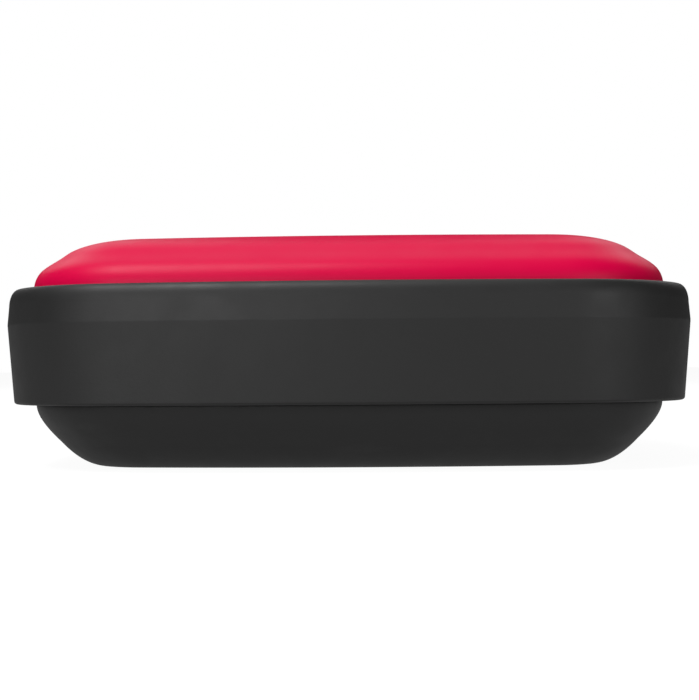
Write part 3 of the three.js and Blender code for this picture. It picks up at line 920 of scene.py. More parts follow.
STEEL = Metal("bright_spring_steel", "spring_steel", (0.56, 0.56, 0.58))
SCREW = Metal("black_oxide_steel", "dark_screw_steel", (0.07, 0.07, 0.075), 0.34)
GOLD = Metal("gold_plate", "spring_steel", (0.83, 0.6, 0.25), 0.22)
BOARD = SolderMask("green_board", "green_board", (0.006, 0.06, 0.03), (0.02, 0.13, 0.07))
POUCH = Foil("pouch_foil", "silver_foil", (0.56, 0.57, 0.59))


@functools.lru_cache(maxsize=None)
def material_of(finish: Finish) -> bpy.types.Material:
    """The material of a finish, made the first time that it is asked for."""
    sheet = NodeSheet(finish.name)
    finish.dress(sheet)
    return sheet.material


# --------------------------------------------------------------------------------------- pieces


def make_piece(
    name: str,
    shape: Shape,
    body: Body,
    finish: Finish,
    stands_for: Sequence[str] = (),
    sharp: float = 38,
    even: bool = True,
) -> bpy.types.Object:
    """Turns a shape into a finished piece that rides on its body.

    Args:
        name: The piece's name.
        shape: Its shape, in millimetres.
        body: The body that it rides on.
        finish: Its finish.
        stands_for: The CAD nodes that it is shown in place of.
        sharp: Edges that turn by more than this many degrees stay crisp.
        even: Whether its large faces are shaded flat up to their rounded edges.

    Returns:
        The piece.
    """
    shape.tidy()
    bmesh.ops.scale(shape.bm, vec=(MM, MM, MM), verts=shape.bm.verts)
    mesh = bpy.data.meshes.new(name)
    shape.bm.to_mesh(mesh)
    shape.bm.free()
    mesh.shade_smooth()
    mesh.set_sharp_from_angle(angle=math.radians(sharp))
    mesh.materials.append(material_of(finish))
    piece = bpy.data.objects.new(name, mesh)
    bpy.context.scene.collection.objects.link(piece)
    if even:
        shading = piece.modifiers.new("even_shading", "WEIGHTED_NORMAL")
        shading.keep_sharp = True
        shading.weight = 60
    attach(piece, body.value)
    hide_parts(*stands_for)
    LOG.info("%s: %d faces on %s", name, len(mesh.polygons), body.value)
    return piece


def node_box(name: str) -> tuple[Vector, Vector]:
    """A CAD node's lowest and highest corners, in millimetres."""
    low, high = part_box(name)
    return low / MM, high / MM


def dress_node(node: str, finish: Finish) -> None:
    """Gives a CAD node that stays a finish of its own."""
    part = frame["nodes"][node]
    part.data.materials.clear()
    part.data.materials.append(material_of(finish))
    LOG.info("%s: CAD node kept, dressed in %s", node, finish.name)


@dataclass
class FrontCap:
    """The red cap: a pillow-edged lid with openings for the keys and the status light."""

    seat: float = 9.45
    skirt: float = 8.85
    inset: float = 1.39
    rise: float = 2.7
    edge_depth: float = 5.4
    flat_at: float = 0.6
    flat_reach: float = 0.17
    flat_depth: float = 0.265
    well: float = 11.2
    underside: float = 11.15
    small_hole: float = 1.65

    def build(self) -> None:
        """Makes the cap."""
        top = self.seat + self.rise
        edge = [self.flattened(level) for level in ellipse_edge(self.seat, self.inset, self.rise, self.edge_depth, 28)]
        draws = PLAN.draws([(self.skirt, self.inset + 0.06), *edge])
        lip = [(self.well + 0.16, top), (self.well + 0.05, top - 0.03), (self.well, top - 0.12)]
        for radius, z in [*lip, (self.well, self.underside)]:
            draws.append(functools.partial(Shape.circle, radius=radius, z=z, segments=PLAN.count))
        inner = ellipse_edge(self.seat, 2.65, self.underside - self.seat, 4.0, 8)
        draws += PLAN.draws([*inner[::-1], (self.skirt, 2.65)])
        shape = skin(draws, closed=True)
        tools = [self.hole(self.small_hole, (side * SMALL_KEY_AT, SMALL_KEY_AT)) for side in SIDES]
        tools.append(self.hole(0.56, (0, LIGHT_Y), 0.06))
        shape.carve(*tools)
        for side in SIDES:
            profile = [(0.52, 8.4), (1.15, 8.4), (1.15, 11.0), (0.52, 11.0)]
            shape.add(Shape().lathe(profile, (side * POST_X, 0), 24, closed=True))
        make_piece("front_cap_shell", shape, Body.PLAYER, RED, ["front_cap"])

    def flattened(self, level: Level) -> Level:
        """Draws a level of the edge in a little, so that the middle of the edge is a straight slope."""
        z, inset = level
        share = (z - self.seat) / self.rise
        return z, inset + self.flat_depth * math.exp(-(((share - self.flat_at) / self.flat_reach) ** 2))

    def hole(self, radius: float, centre: Place, lip: float = 0.14) -> Shape:
        """The tool that cuts a round opening with an eased lip."""
        top = self.seat + self.rise
        profile = [(0, 10), (radius, 10), (radius, top - lip), (radius + lip * 0.35, top - lip * 0.25)]
        profile += [(radius + lip, top + 0.02), (radius + lip, top + 2), (0, top + 2)]
        return Shape().lathe(profile, centre, 40)


@dataclass
class MiddleBand:
    """The black band round the middle, with the two socket openings in its +Y side."""

    bottom: float = 3.35
    top: float = 9.45
    ridge: float = 7.55
    wall: float = 1.8
    ledge: float = 2.4
    seat: float = 1.28

    def build(self) -> None:
        """Makes the band."""
        foot = ellipse_edge(self.bottom + 0.16, 0.33, -0.16, 0.22, 4)[::-1]
        brow = ellipse_edge(self.top - 0.95, 0.09, 0.95, 0.5, 14)
        levels = [
            *foot,
            (self.ridge - 0.05, 0.005),
            (self.ridge + 0.05, 0.005),
            *brow,
            (self.top, self.seat - 0.08),
            (self.top - 0.08, self.seat),
            (8.6, self.seat),
            (8.6, self.ledge),
            (7.7, self.ledge),
            (7.7, self.wall),
            (self.bottom, self.wall),
        ]
        shape = PLAN.loft(levels, closed=True)
        shape.carve(*self.corner_bosses(), how=Carving.ONTO)
        shape.carve(*self.socket_openings())
        make_piece("middle_band", shape, Body.PLAYER, BLACK, ["frame_band"])

    def corner_bosses(self) -> list[Shape]:
        """The four screw bosses and the ribs that tie them to the corners."""
        parts = []
        at = math.sqrt(2) * CASE_SCREW_AT
        for degrees in (45, 135, 225, 315):
            ring = [(0.72, 4.25), (1.5, 4.25), (1.5, 7.5), (0.72, 7.5)]
            parts.append(Shape().lathe(ring, (at, 0), 24, closed=True).moved(spin(degrees)))
            parts.append(solid_block((at + 1.2, -0.6, 4.25), (at + 3.1, 0.6, 7.5)).moved(spin(degrees)))
        return parts

    def socket_openings(self) -> list[Shape]:
        """The tools that cut both socket openings, each with an eased lip."""
        radius = 2.05
        start, end = 15.4, 20
        profile = [(0, start), (radius, start), (radius, 18.35)]
        profile += [(radius + 0.3, 18.75), (radius + 0.5, end), (0, end)]
        jack = Shape().lathe(profile, segments=48).moved(AT_JACK @ lay(Axis.Y))
        return [jack, oblong(9.2, 3.5, start, end, USB_AT), oblong(9.3, 3.6, 18.2, 19.2, USB_AT, 0.6)]


class Icon(Enum):
    """The generic marks on the keys."""

    PLAY_PAUSE = "play_pause"
    PLUS = "plus"
    MINUS = "minus"
    FORWARD = "forward"
    BACK = "back"
    LIST = "list"
    POWER = "power"


@dataclass(frozen=True)
class KeySpec:
    """One key: its word, the body it rides on, its mark, its place and the way it faces."""

    word: str
    body: Body
    icon: Icon
    at: Place
    degrees: float = 0

    @property
    def name(self) -> str:
        """The key's CAD node."""
        return f"{self.word}_key"

    @property
    def joint(self) -> str:
        """The joint that presses it."""
        return f"{self.word}_press"

    @property
    def dome(self) -> str:
        """The snap dome under it."""
        return f"{self.word}_dome"


@dataclass
class KeyField:
    """The seven keys, their printed marks and the snap domes under them."""

    top: float = 12.02
    ring_inner: float = 5.35
    ring_outer: float = 11.0
    gap: float = 0.5
    ring_z: float = 10.75
    print_height: float = 0.012
    proud: float = 0.03

    def build(self) -> None:
        """Makes every key."""
        at, small = RING_KEY_AT, SMALL_KEY_AT
        ring = [
            KeySpec("next", Body.NEXT, Icon.FORWARD, (at, 0), 0),
            KeySpec("volume_up", Body.VOLUME_UP, Icon.PLUS, (0, at), 90),
            KeySpec("previous", Body.PREVIOUS, Icon.BACK, (-at, 0), 180),
            KeySpec("volume_down", Body.VOLUME_DOWN, Icon.MINUS, (0, -at), 270),
        ]
        corners = [
            KeySpec("playlist", Body.PLAYLIST, Icon.LIST, (-small, small)),
            KeySpec("power", Body.POWER, Icon.POWER, (small, small)),
        ]
        play = KeySpec("play", Body.PLAY, Icon.PLAY_PAUSE, (0, 0))
        self.key(play, self.play_shape(), self.top + self.proud, 1.0, 1.9)
        for spec in ring:
            self.key(spec, self.ring_shape(spec.degrees), self.top, 0.8, 1.9)
        for spec in corners:
            self.key(spec, self.small_shape(spec.at), self.top, 0.42, 1.25)

    def key(self, spec: KeySpec, shape: Shape, top: float, size: float, dome: float) -> None:
        """Makes one key with its mark and its snap dome.

        Args:
            spec: The key.
            shape: Its cap.
            top: The height that the mark is printed at.
            size: The scale of the mark.
            dome: The radius of the dome.
        """
        make_piece(f"{spec.name}_cap", shape, spec.body, RED, [spec.name])
        self.mark(spec, top, size)
        self.dome(spec, dome)

    def play_shape(self) -> Shape:
        """The round key in the middle, with a shallow dish and a stem."""
        top = self.top + self.proud
        radius, ease, rim, dish = 5.0, 0.22, 4.6, 0.11
        profile = [(0, STEM_FOOT), (STEM_RADIUS, STEM_FOOT), (STEM_RADIUS, 10.15), (6.4, 10.15), (6.4, 10.4)]
        profile += [(radius, 10.4), (radius, top - ease)]
        for angle in (0.4, 0.8, 1.2):
            profile.append((radius - ease * (1 - math.cos(angle)), top - ease * (1 - math.sin(angle))))
        profile.append((radius - ease, top))
        profile += [(rim * (1 - s), top - dish * (1 - (1 - s) ** 2)) for s in (0.05, 0.2, 0.4, 0.6, 0.8, 1.0)]
        return Shape().lathe(profile, segments=96)

    def small_shape(self, at: Place) -> Shape:
        """A small round key with a soft edge, a flange and a stem."""
        top = self.top
        profile = [(0, STEM_FOOT), (STEM_RADIUS, STEM_FOOT), (STEM_RADIUS, 10.65)]
        profile += [(2.05, 10.65), (2.05, 10.95), (1.5, 10.95), (1.5, top - 0.2)]
        profile += [(1.46, top - 0.09), (1.38, top - 0.03), (1.26, top), (0, top)]
        return Shape().lathe(profile, at, 48)

    def sector_ring(self, shape: Shape, inner: float, outer: float, z: float, gap: float) -> list:
        """Draws a quarter of a ring that faces +X, by spinning two points.

        Args:
            shape: The shape that it is drawn in.
            inner: Its inner radius.
            outer: Its outer radius.
            z: Its height.
            gap: The width of the parallel-sided gap to the next quarter.

        Returns:
            Its edges.
        """
        bm = shape.bm
        before = set(bm.edges)
        ends = []
        for radius in (inner, outer):
            half = math.pi / 4 - math.asin(gap / 2 / radius)
            start = bm.verts.new((radius * math.cos(half), -radius * math.sin(half), z))
            made = bmesh.ops.spin(bm, geom=[start], cent=(0, 0, z), axis=(0, 0, 1), angle=2 * half, steps=28)
            end = next(item for item in made["geom_last"] if isinstance(item, bmesh.types.BMVert))
            ends.append((start, end))
        (inner_start, inner_end), (outer_start, outer_end) = ends
        bm.edges.new((inner_start, outer_start))
        bm.edges.new((inner_end, outer_end))
        return [edge for edge in bm.edges if edge not in before]

    def ring_shape(self, degrees: float) -> Shape:
        """One key of the ring: a quarter with eased edges, standing on its flange and its stem."""
        flange_height, seam = 0.3, 0.002
        shape = Shape()
        foot = self.ring_z + flange_height + seam
        plan = self.sector_ring(shape, self.ring_inner, self.ring_outer, foot, self.gap)
        shape.raise_flat(plan, self.top - foot)
        shape.tidy()
        upright = [e for e in shape.bm.edges if abs(e.verts[0].co.z - e.verts[1].co.z) > 0.5]
        shape.soften([e for e in upright if e.calc_face_angle(0) > 1], 0.5, 5)
        shape.soften_where(lambda a, b: min(a.z, b.z) > self.top - SAME, 0.2, 4)
        flange = Shape()
        flange.raise_flat(self.sector_ring(flange, 7.0, 11.8, self.ring_z, self.gap), flange_height)
        stem = rod(STEM_RADIUS, STEM_FOOT, self.ring_z - seam, (RING_KEY_AT, 0), Axis.Z, 0.05, 20)
        return shape.add(flange.tidy()).add(stem.tidy()).moved(spin(degrees))

    def dome(self, key: KeySpec, radius: float) -> None:
        """The snap dome under a key, made on the player's body, where it keeps its shape as the key is pressed."""
        z, rise, sheet = BOARD_TOP + 0.01, 0.36, 0.07
        steps = [step / 8 for step in range(9)]
        profile = [(radius * s, z + sheet + (rise - sheet) * (1 - s**2)) for s in steps]
        profile += [(radius * s, z + (rise - sheet) * (1 - s**2)) for s in reversed(steps)]
        shape = Shape().lathe(profile, key.at, 40)
        piece = make_piece(f"{key.dome}_disc", shape, Body.PLAYER, STEEL, [key.dome], 60, even=False)
        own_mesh(piece)

    def mark(self, key: KeySpec, top: float, size: float) -> None:
        """Prints a key's mark as a thin layer of ink."""
        ink = Shape()
        sunk = 0.006
        z = top - sunk
        for low, high in self.bars(key.icon):
            ink.block((low[0], low[1], 0), (high[0], high[1], 1))
        for x, direction in self.arrows(key.icon):
            tip = Shape()
            made = bmesh.ops.create_circle(tip.bm, cap_ends=False, radius=1.0, segments=3)
            ring = list({e for v in made["verts"] for e in v.link_edges})
            tip.raise_flat(ring, 1)
            ink.add(tip, shift(x, 0, 0) @ spin(-90 * direction) @ Matrix.Diagonal((0.95, 0.95, 1, 1)))
        if key.icon is Icon.POWER:
            arc = Shape()
            corners = [arc.bm.verts.new((x, 0, z)) for x, z in ((0.95, 0), (1.25, 0), (1.25, 1), (0.95, 1))]
            face = arc.bm.faces.new(corners)
            arc.moved(spin(90 + 38))
            bmesh.ops.spin(
                arc.bm,
                geom=[face, *face.verts, *face.edges],
                cent=(0, 0, 0),
                axis=(0, 0, 1),
                angle=math.radians(360 - 76),
                steps=28,
            )
            ink.add(arc)
        flat = Matrix.Diagonal((size, size, self.print_height + sunk, 1))
        ink.moved(shift(key.at[0], key.at[1], z) @ flat)
        make_piece(f"{key.name}_mark", ink, key.body, PRINT)

    @staticmethod
    def bars(icon: Icon) -> list[tuple[Place, Place]]:
        """The straight bars of a mark, each as two corners."""
        across, upright = ((-1.3, -0.2), (1.3, 0.2)), ((-0.2, -1.3), (0.2, 1.3))
        return {
            Icon.PLAY_PAUSE: [((0.5, -0.83), (0.83, 0.83)), ((1.2, -0.83), (1.53, 0.83))],
            Icon.PLUS: [across, ((-0.2, 0.2), (0.2, 1.3)), ((-0.2, -1.3), (0.2, -0.2))],
            Icon.MINUS: [across],
            Icon.FORWARD: [((1.4, -0.83), (1.68, 0.83))],
            Icon.BACK: [((-1.68, -0.83), (-1.4, 0.83))],
            Icon.LIST: [((-1.2, y), (1.2, y + 0.28)) for y in (-0.95, -0.14, 0.67)],
            Icon.POWER: [((-0.16, 0.1), (0.16, 1.35))],
        }[icon]

    @staticmethod
    def arrows(icon: Icon) -> list[tuple[float, int]]:
        """The triangles of a mark, each as its centre and the way it points."""
        return {
            Icon.PLAY_PAUSE: [(-0.7, 1)],
            Icon.FORWARD: [(-0.98, 1), (0.45, 1)],
            Icon.BACK: [(0.98, -1), (-0.45, -1)],
        }.get(icon, [])


@dataclass
class Electronics:
    """The board and what is soldered to it."""

    board_z: float = 7.55
    inset: float = 2.65
    land: float = 0.008
    foot: float = 0.12

    def build(self) -> None:
        """Makes the board and its parts."""
        self.board()
        self.contacts()
        self.passives()
        for name, up in (("processor_chip", -1), ("audio_chip", -1), ("power_chip", -1), ("flash_memory", 1)):
            self.chip(name, up)
        self.can("radio_shield", 1)
        self.can("clock_crystal", -1)
        self.inductor()
        self.antenna()
        self.battery_socket()
        self.light()
        self.jack()
        self.usb()

    def board(self) -> None:
        """The circuit board with its cut-outs for both sockets."""
        ease = 0.04
        levels = [(self.board_z, self.inset + ease), (self.board_z + ease, self.inset)]
        levels += [(BOARD_TOP - ease, self.inset), (BOARD_TOP, self.inset + ease)]
        tools = [
            solid_block((x - reach, start, 6), (x + reach, 20, 10))
            for x, reach, start in ((JACK_AT[0], 3.1, 5.3), (USB_AT[0], 4.6, 11.0))
        ]
        tools += [rod(0.62, 6, 10, (side * POST_X, 0), Axis.Z, 0, 24) for side in SIDES]
        shape = PLAN.loft(levels).carve(*tools)
        make_piece("circuit_board", shape, Body.PLAYER, BOARD, ["main_board"])

    def contacts(self) -> None:
        """The gold contact rings under the domes and round the screw holes."""
        shape = Shape()
        at = RING_KEY_AT
        rings = [((x, y), 1.55, 2.02, 40) for x, y in ((0, 0), (at, 0), (0, at), (-at, 0), (0, -at))]
        rings += [((side * SMALL_KEY_AT, SMALL_KEY_AT), 0.9, 1.37, 40) for side in SIDES]
        rings += [((side * POST_X, 0), 0.64, 1.1, 32) for side in SIDES]
        low, high = BOARD_TOP, BOARD_TOP + self.land
        for centre, inner, outer, segments in rings:
            profile = [(inner, low), (outer, low), (outer, high), (inner, high)]
            shape.lathe(profile, centre, segments, closed=True)
        make_piece("board_contacts", shape, Body.PLAYER, GOLD)

    def passives(self) -> None:
        """Rows of small capacitors and resistors on both faces of the board."""
        bodies, ends = Shape(), Shape()
        height = 0.35
        above = [(x, -14.2) for x in (3.5, 5.2, 6.9, 8.6, -8.6, -6.9, -5.2)]
        above += [(13.5, y) for y in (-5.5, -3.9, 4.3, 6.1)] + [(-13.4, y) for y in (3.2, 4.8)]
        below = [(x, 12.6) for x in (10.6, 12.3)] + [(14.2, y) for y in (4.6, 6.2, 7.8)]
        spots = [(x, y, BOARD_TOP) for x, y in above] + [(x, y, self.board_z - height) for x, y in below]
        for x, y, low in spots:
            high = low + height
            bodies.block((x - 0.28, y - 0.25, low), (x + 0.28, y + 0.25, high), 0.03, 1)
            for end in (x - 0.4, x + 0.4):
                ends.block((end - 0.13, y - 0.27, low), (end + 0.13, y + 0.27, high + 0.01), 0.04, 1)
        make_piece("board_passives", bodies, Body.PLAYER, CERAMIC)
        make_piece("board_passive_ends", ends, Body.PLAYER, STEEL)

    def foot_of(self, low: Vector, high: Vector, up: int) -> tuple[Point, Point]:
        """The corners of the thin layer of a box that lies against the board."""
        if up > 0:
            return tuple(low), (high.x, high.y, low.z + self.foot)
        return (low.x, low.y, high.z - self.foot), tuple(high)

    def chip(self, name: str, up: int) -> None:
        """A moulded chip with a first-pin dimple and solder lands round its foot.

        Args:
            name: The CAD node that it stands for.
            up: 1 if it stands on the board, -1 if it hangs under it.
        """
        low, high = node_box(name)
        shape = solid_block(low, high, 0.08, 2)
        face = high.z if up > 0 else low.z
        dimple = rod(0.28, face - 0.06, face + 0.06, (low.x + 0.75, high.y - 0.75), Axis.Z, 0, 20)
        shape.carve(dimple)
        make_piece(f"{name}_package", shape, Body.PLAYER, EPOXY, [name])
        lands, pitch = Shape(), 0.5
        (*_, bottom), (*_, top) = self.foot_of(low, high, up)
        for y in (low.y - 0.02, high.y + 0.02):
            for index in range(int((high.x - low.x - 0.6) / pitch)):
                x = low.x + 0.55 + index * pitch
                lands.block((x - 0.12, y - 0.1, bottom), (x + 0.12, y + 0.1, top), 0.02, 1)
        make_piece(f"{name}_lands", lands, Body.PLAYER, STEEL)

    def can(self, name: str, up: int) -> None:
        """A drawn metal can with a flange round its foot."""
        low, high = node_box(name)
        shape = solid_block(low, high, min(0.35, (high.z - low.z) * 0.4), 4)
        shape.block(*self.foot_of(low, high, up), 0.04, 2)
        make_piece(f"{name}_can", shape, Body.PLAYER, STEEL, [name])

    def inductor(self) -> None:
        """The power inductor: a ferrite block with plated ends."""
        low, high = node_box("power_inductor")
        reach = Vector((0.3, 0, 0))
        shape = solid_block(low + reach, high - reach, 0.15, 3)
        make_piece("power_inductor_core", shape, Body.PLAYER, EPOXY, ["power_inductor"])
        ends = Shape()
        ends.block(low, (low.x + 0.4, high.y, high.z), 0.1, 2)
        ends.block((high.x - 0.4, low.y, low.z), high, 0.1, 2)
        make_piece("power_inductor_ends", ends, Body.PLAYER, STEEL)

    def antenna(self) -> None:
        """The ceramic chip antenna with its plated ends."""
        low, high = node_box("chip_antenna")
        make_piece("chip_antenna_body", solid_block(low, high, 0.06, 2), Body.PLAYER, CERAMIC, ["chip_antenna"])
        ends = Shape()
        for y in (low.y - 0.01, high.y - 0.49):
            ends.block((low.x - 0.01, y, low.z), (high.x + 0.01, y + 0.5, high.z + 0.01), 0.05, 2)
        make_piece("chip_antenna_ends", ends, Body.PLAYER, STEEL)

    def battery_socket(self) -> None:
        """The battery's board socket with two contact slots."""
        low, high = node_box("battery_socket")
        shape = solid_block(low, high, 0.08, 2)
        middle = (low.x + high.x) / 2
        slots = [
            solid_block((x - 0.3, low.y - 1, low.z + 0.35), (x + 0.3, low.y + 1.2, low.z + 0.95))
            for x in (middle - 0.6, middle + 0.6)
        ]
        shape.carve(*slots)
        make_piece("battery_socket_body", shape, Body.PLAYER, NYLON, ["battery_socket"])

    def light(self) -> None:
        """The status light and the light pipe above it."""
        low, high = node_box("status_led")
        shape = solid_block(low, (high.x, high.y, low.z + 0.25), 0.03, 1)
        middle = (low + high) / 2
        dome = Vector((0.5, 0.32, 0))
        start, end = middle - dome, middle + dome
        shape.add(solid_block((start.x, start.y, low.z + 0.2), (end.x, end.y, high.z), 0.1, 3))
        make_piece("status_led_chip", shape, Body.PLAYER, LENS, ["status_led"])
        profile = [(0, 9.2), (0.42, 9.2), (0.5, 9.28), (0.5, 9.95), (0.8, 9.95), (0.8, 10.2), (0.5, 10.2)]
        profile += [(0.5, 11.98), (0.46, 12.05), (0.36, 12.09), (0.18, 12.11), (0, 12.115)]
        lens = Shape().lathe(profile, (0, LIGHT_Y), 32)
        make_piece("status_light_lens", lens, Body.PLAYER, LENS, ["status_light_pipe"])

    def jack(self) -> None:
        """The headphone socket: a moulded body, a plated nose and the contact springs in its bore."""
        low, high = node_box("headphone_jack")
        front, face = 15.9, high.y
        bore, z = 1.75, JACK_AT[1]
        shape = solid_block((low.x, low.y, z - 1.95), (high.x, front, z + 1.95), 0.18, 3)
        grooves = [solid_block((low.x - 1, y, z - 3), (low.x + 0.25, y + 0.5, z + 3)) for y in (7.2, 9.6, 12.0)]
        shape.carve(*grooves, rod(bore, low.y + 1, front + 1, JACK_AT, Axis.Y, 0, 48))
        make_piece("headphone_jack_body", shape, Body.PLAYER, EPOXY, ["headphone_jack"])
        profile = [(bore, front - 0.3), (2.0, front - 0.3), (2.0, face - 0.08)]
        profile += [(1.94, face), (1.86, face), (bore, face - 0.12)]
        nose = Shape().lathe(profile, segments=64, closed=True).moved(AT_JACK @ lay(Axis.Y))
        make_piece("headphone_jack_nose", nose, Body.PLAYER, STEEL)
        springs = Shape()
        for y, degrees in ((8.4, 90), (10.8, 210), (13.2, 330)):
            leaf = solid_block((-0.35, y - 1.1, 1.45), (0.35, y + 1.1, 1.62), 0.06, 2)
            springs.add(leaf, AT_JACK @ spin(degrees, "Y"))
        make_piece("headphone_jack_contacts", springs, Body.PLAYER, GOLD)

    def usb(self) -> None:
        """The charging socket: a drawn shell, and a tongue with gold contacts on both faces."""
        low, high = node_box("usb_shell")
        width, height, walls = high.x - low.x, high.z - low.z, 0.6
        shell = oblong(width, height, low.y, high.y, USB_AT)
        shell.soften_where(lambda a, b: min(a.y, b.y) > high.y - SAME, 0.07, 2)
        shell.carve(oblong(width - walls, height - walls, low.y + 1.2, high.y + 1, USB_AT))
        make_piece("usb_shell_can", shell, Body.PLAYER, STEEL, ["usb_shell"])
        low, high = node_box("usb_tongue")
        tongue = solid_block(low, high, 0.12, 3)
        make_piece("usb_tongue_body", tongue, Body.PLAYER, EPOXY, ["usb_tongue"])
        pads, pitch = Shape(), 0.5
        for index in range(12):
            x = USB_AT[0] + (index - 5.5) * pitch
            for bottom, top in ((low.z - 0.012, low.z + 0.02), (high.z - 0.02, high.z + 0.012)):
                pads.block((x - 0.14, high.y - 3.2, bottom), (x + 0.14, high.y - 0.35, top), 0.005, 1)
        make_piece("usb_tongue_contacts", pads, Body.PLAYER, GOLD)


@dataclass
class BatteryPack:
    """The pouch cell with its folded sides, its tape, leads and plug."""

    plug_x: float = -11.0

    def build(self) -> None:
        """Makes the pack."""
        low, high = node_box("battery")
        cell = solid_block(low + Vector((0.25, 0, 0)), high - Vector((0.25, 1.2, 0)), 0.55, 5)
        for x in (low.x, high.x - 0.35):
            cell.block((x, low.y + 0.6, low.z + 0.4), (x + 0.35, high.y - 1.4, high.z - 0.5), 0.12, 2)
        cell.block((low.x + 0.8, high.y - 1.5, low.z + 0.9), (high.x - 0.8, high.y, low.z + 1.5), 0.12, 2)
        make_piece("battery_pouch", cell, Body.PLAYER, POUCH, ["battery"])
        tape = solid_block(*node_box("battery_tape"), 0.03, 1)
        make_piece("battery_tape_sheet", tape, Body.PLAYER, NYLON, ["battery_tape"])
        low, high = node_box("battery_plug")
        plug = solid_block(low, high, 0.1, 2)
        plug.block((low.x + 0.4, high.y - 0.3, high.z - 0.05), (high.x - 0.4, high.y, high.z), 0.02, 1)
        make_piece("battery_plug_body", plug, Body.PLAYER, NYLON, ["battery_plug"])
        self.lead("battery_lead_positive", -10.6, self.plug_x - 0.6, LEAD_RED)
        self.lead("battery_lead_negative", -9.4, self.plug_x + 0.6, LEAD_BLACK)

    def lead(self, name: str, start: float, end: float, finish: Finish) -> None:
        """A lead along a smooth curve from the cell to its plug.

        Args:
            name: The CAD node that it stands for.
            start: X where it leaves the cell.
            end: X where it enters the plug.
            finish: The colour of its insulation.
        """
        points = [(start, 3.35, 6.6), (start, 3.8, 6.7), ((start + end) / 2, 4.05, 6.85)]
        points += [(end, 4.3, 6.9), (end, 4.62, 6.9)]
        curve = bpy.data.curves.new(name, "CURVE")
        curve.dimensions = "3D"
        curve.bevel_depth = 0.24
        curve.bevel_resolution = 5
        curve.use_fill_caps = True
        spline = curve.splines.new("NURBS")
        spline.points.add(len(points) - 1)
        for place, point in zip(spline.points, points):
            place.co = (*point, 1)
        spline.use_endpoint_u = True
        spline.order_u = 3
        helper = bpy.data.objects.new("helper", curve)
        bpy.context.scene.collection.objects.link(helper)
        view = bpy.context.evaluated_depsgraph_get()
        mesh = bpy.data.meshes.new_from_object(helper.evaluated_get(view))
        shape = Shape()
        shape.bm.from_mesh(mesh)
        bpy.data.meshes.remove(mesh)
        bpy.data.objects.remove(helper)
        make_piece(f"{name}_wire", shape, Body.PLAYER, finish, [name])


@dataclass
class Back:
    """The back plate that closes the band, with the hinge lugs, the screws and the rubber pad."""

    low: float = 3.4
    high: float = 4.2
    inset: float = 2.0

    def build(self) -> None:
        """Makes the plate and its fasteners."""
        ease = 0.1
        levels = [(self.low, self.inset + ease), (self.low + ease, self.inset), (self.high, self.inset)]
        plate = PLAN.loft(levels)
        tools = [self.screw_seat(x, y) for x in SIDES for y in SIDES]
        tools.append(solid_block((-10.2, GRIP_Y - 1.5, 3.2), (10.2, GRIP_Y + 1.5, 3.65)))
        plate.carve(*tools)
        for side in SIDES:
            near, far = sorted((side * 5.0, side * 6.8))
            lug = hinge_eye(near, far, HINGE[1], self.low + 0.15, 0.06)
            plate.add(lug.carve(rod(0.66, near - 1, far + 1, HINGE, Axis.X, 0, 32)))
        make_piece("back_plate_panel", plate, Body.PLAYER, BLACK, ["back_plate"])
        corners = [(1, 1), (-1, 1), (-1, -1), (1, -1)]
        for index, (x, y) in enumerate(corners, 1):
            self.case_screw(index, x * CASE_SCREW_AT, y * CASE_SCREW_AT)
        for side, word in ((-1, "left"), (1, "right")):
            self.board_screw(word, side * POST_X)
        pad = grip_pad(10, 3.42, 3.62, 0.04, 0.12, 3.49)
        make_piece("body_grip_rubber", pad, Body.PLAYER, RUBBER, ["body_grip_pad"])

    def screw_seat(self, x: int, y: int) -> Shape:
        """The countersunk hole for a case screw."""
        profile = [(0, 3.0), (1.28, 3.0), (1.28, 3.55), (0.73, 4.0), (0.73, 5), (0, 5)]
        return Shape().lathe(profile, (x * CASE_SCREW_AT, y * CASE_SCREW_AT), 32)

    def case_screw(self, index: int, x: float, y: float) -> None:
        """A countersunk screw with a cross recess, head down."""
        profile = [(0, 3.42), (1.14, 3.42), (1.2, 3.48), (1.2, 3.55), (0.65, 4.0)]
        profile += threads(0.5, 0.65, 0.16, [4.25 + turn * 0.36 for turn in range(7)])
        profile += [(0.5, 6.8), (0.3, 6.9), (0, 6.9)]
        shape = Shape().lathe(profile, (x, y), 32)
        shape.carve(*cross((x, y), 3.3, 3.85, 0.7, 0.14))
        make_piece(f"case_screw_{index}_body", shape, Body.PLAYER, SCREW, [f"case_screw_{index}"])

    def board_screw(self, word: str, x: float) -> None:
        """A pan-head screw that holds the board to the cap's post."""
        profile = [(0, 6.95), (0.8, 6.95), (0.95, 7.02), (1.0, 7.15), (1.0, 7.5), (0.45, 7.5)]
        profile += threads(0.36, 0.45, 0.14, [7.75 + turn * 0.34 for turn in range(6)])
        profile += [(0.3, 10.0), (0, 10.0)]
        shape = Shape().lathe(profile, (x, 0), 28)
        shape.carve(*cross((x, 0), 6.8, 7.25, 0.55, 0.11))
        make_piece(f"board_screw_{word}_body", shape, Body.PLAYER, SCREW, [f"board_screw_{word}"])


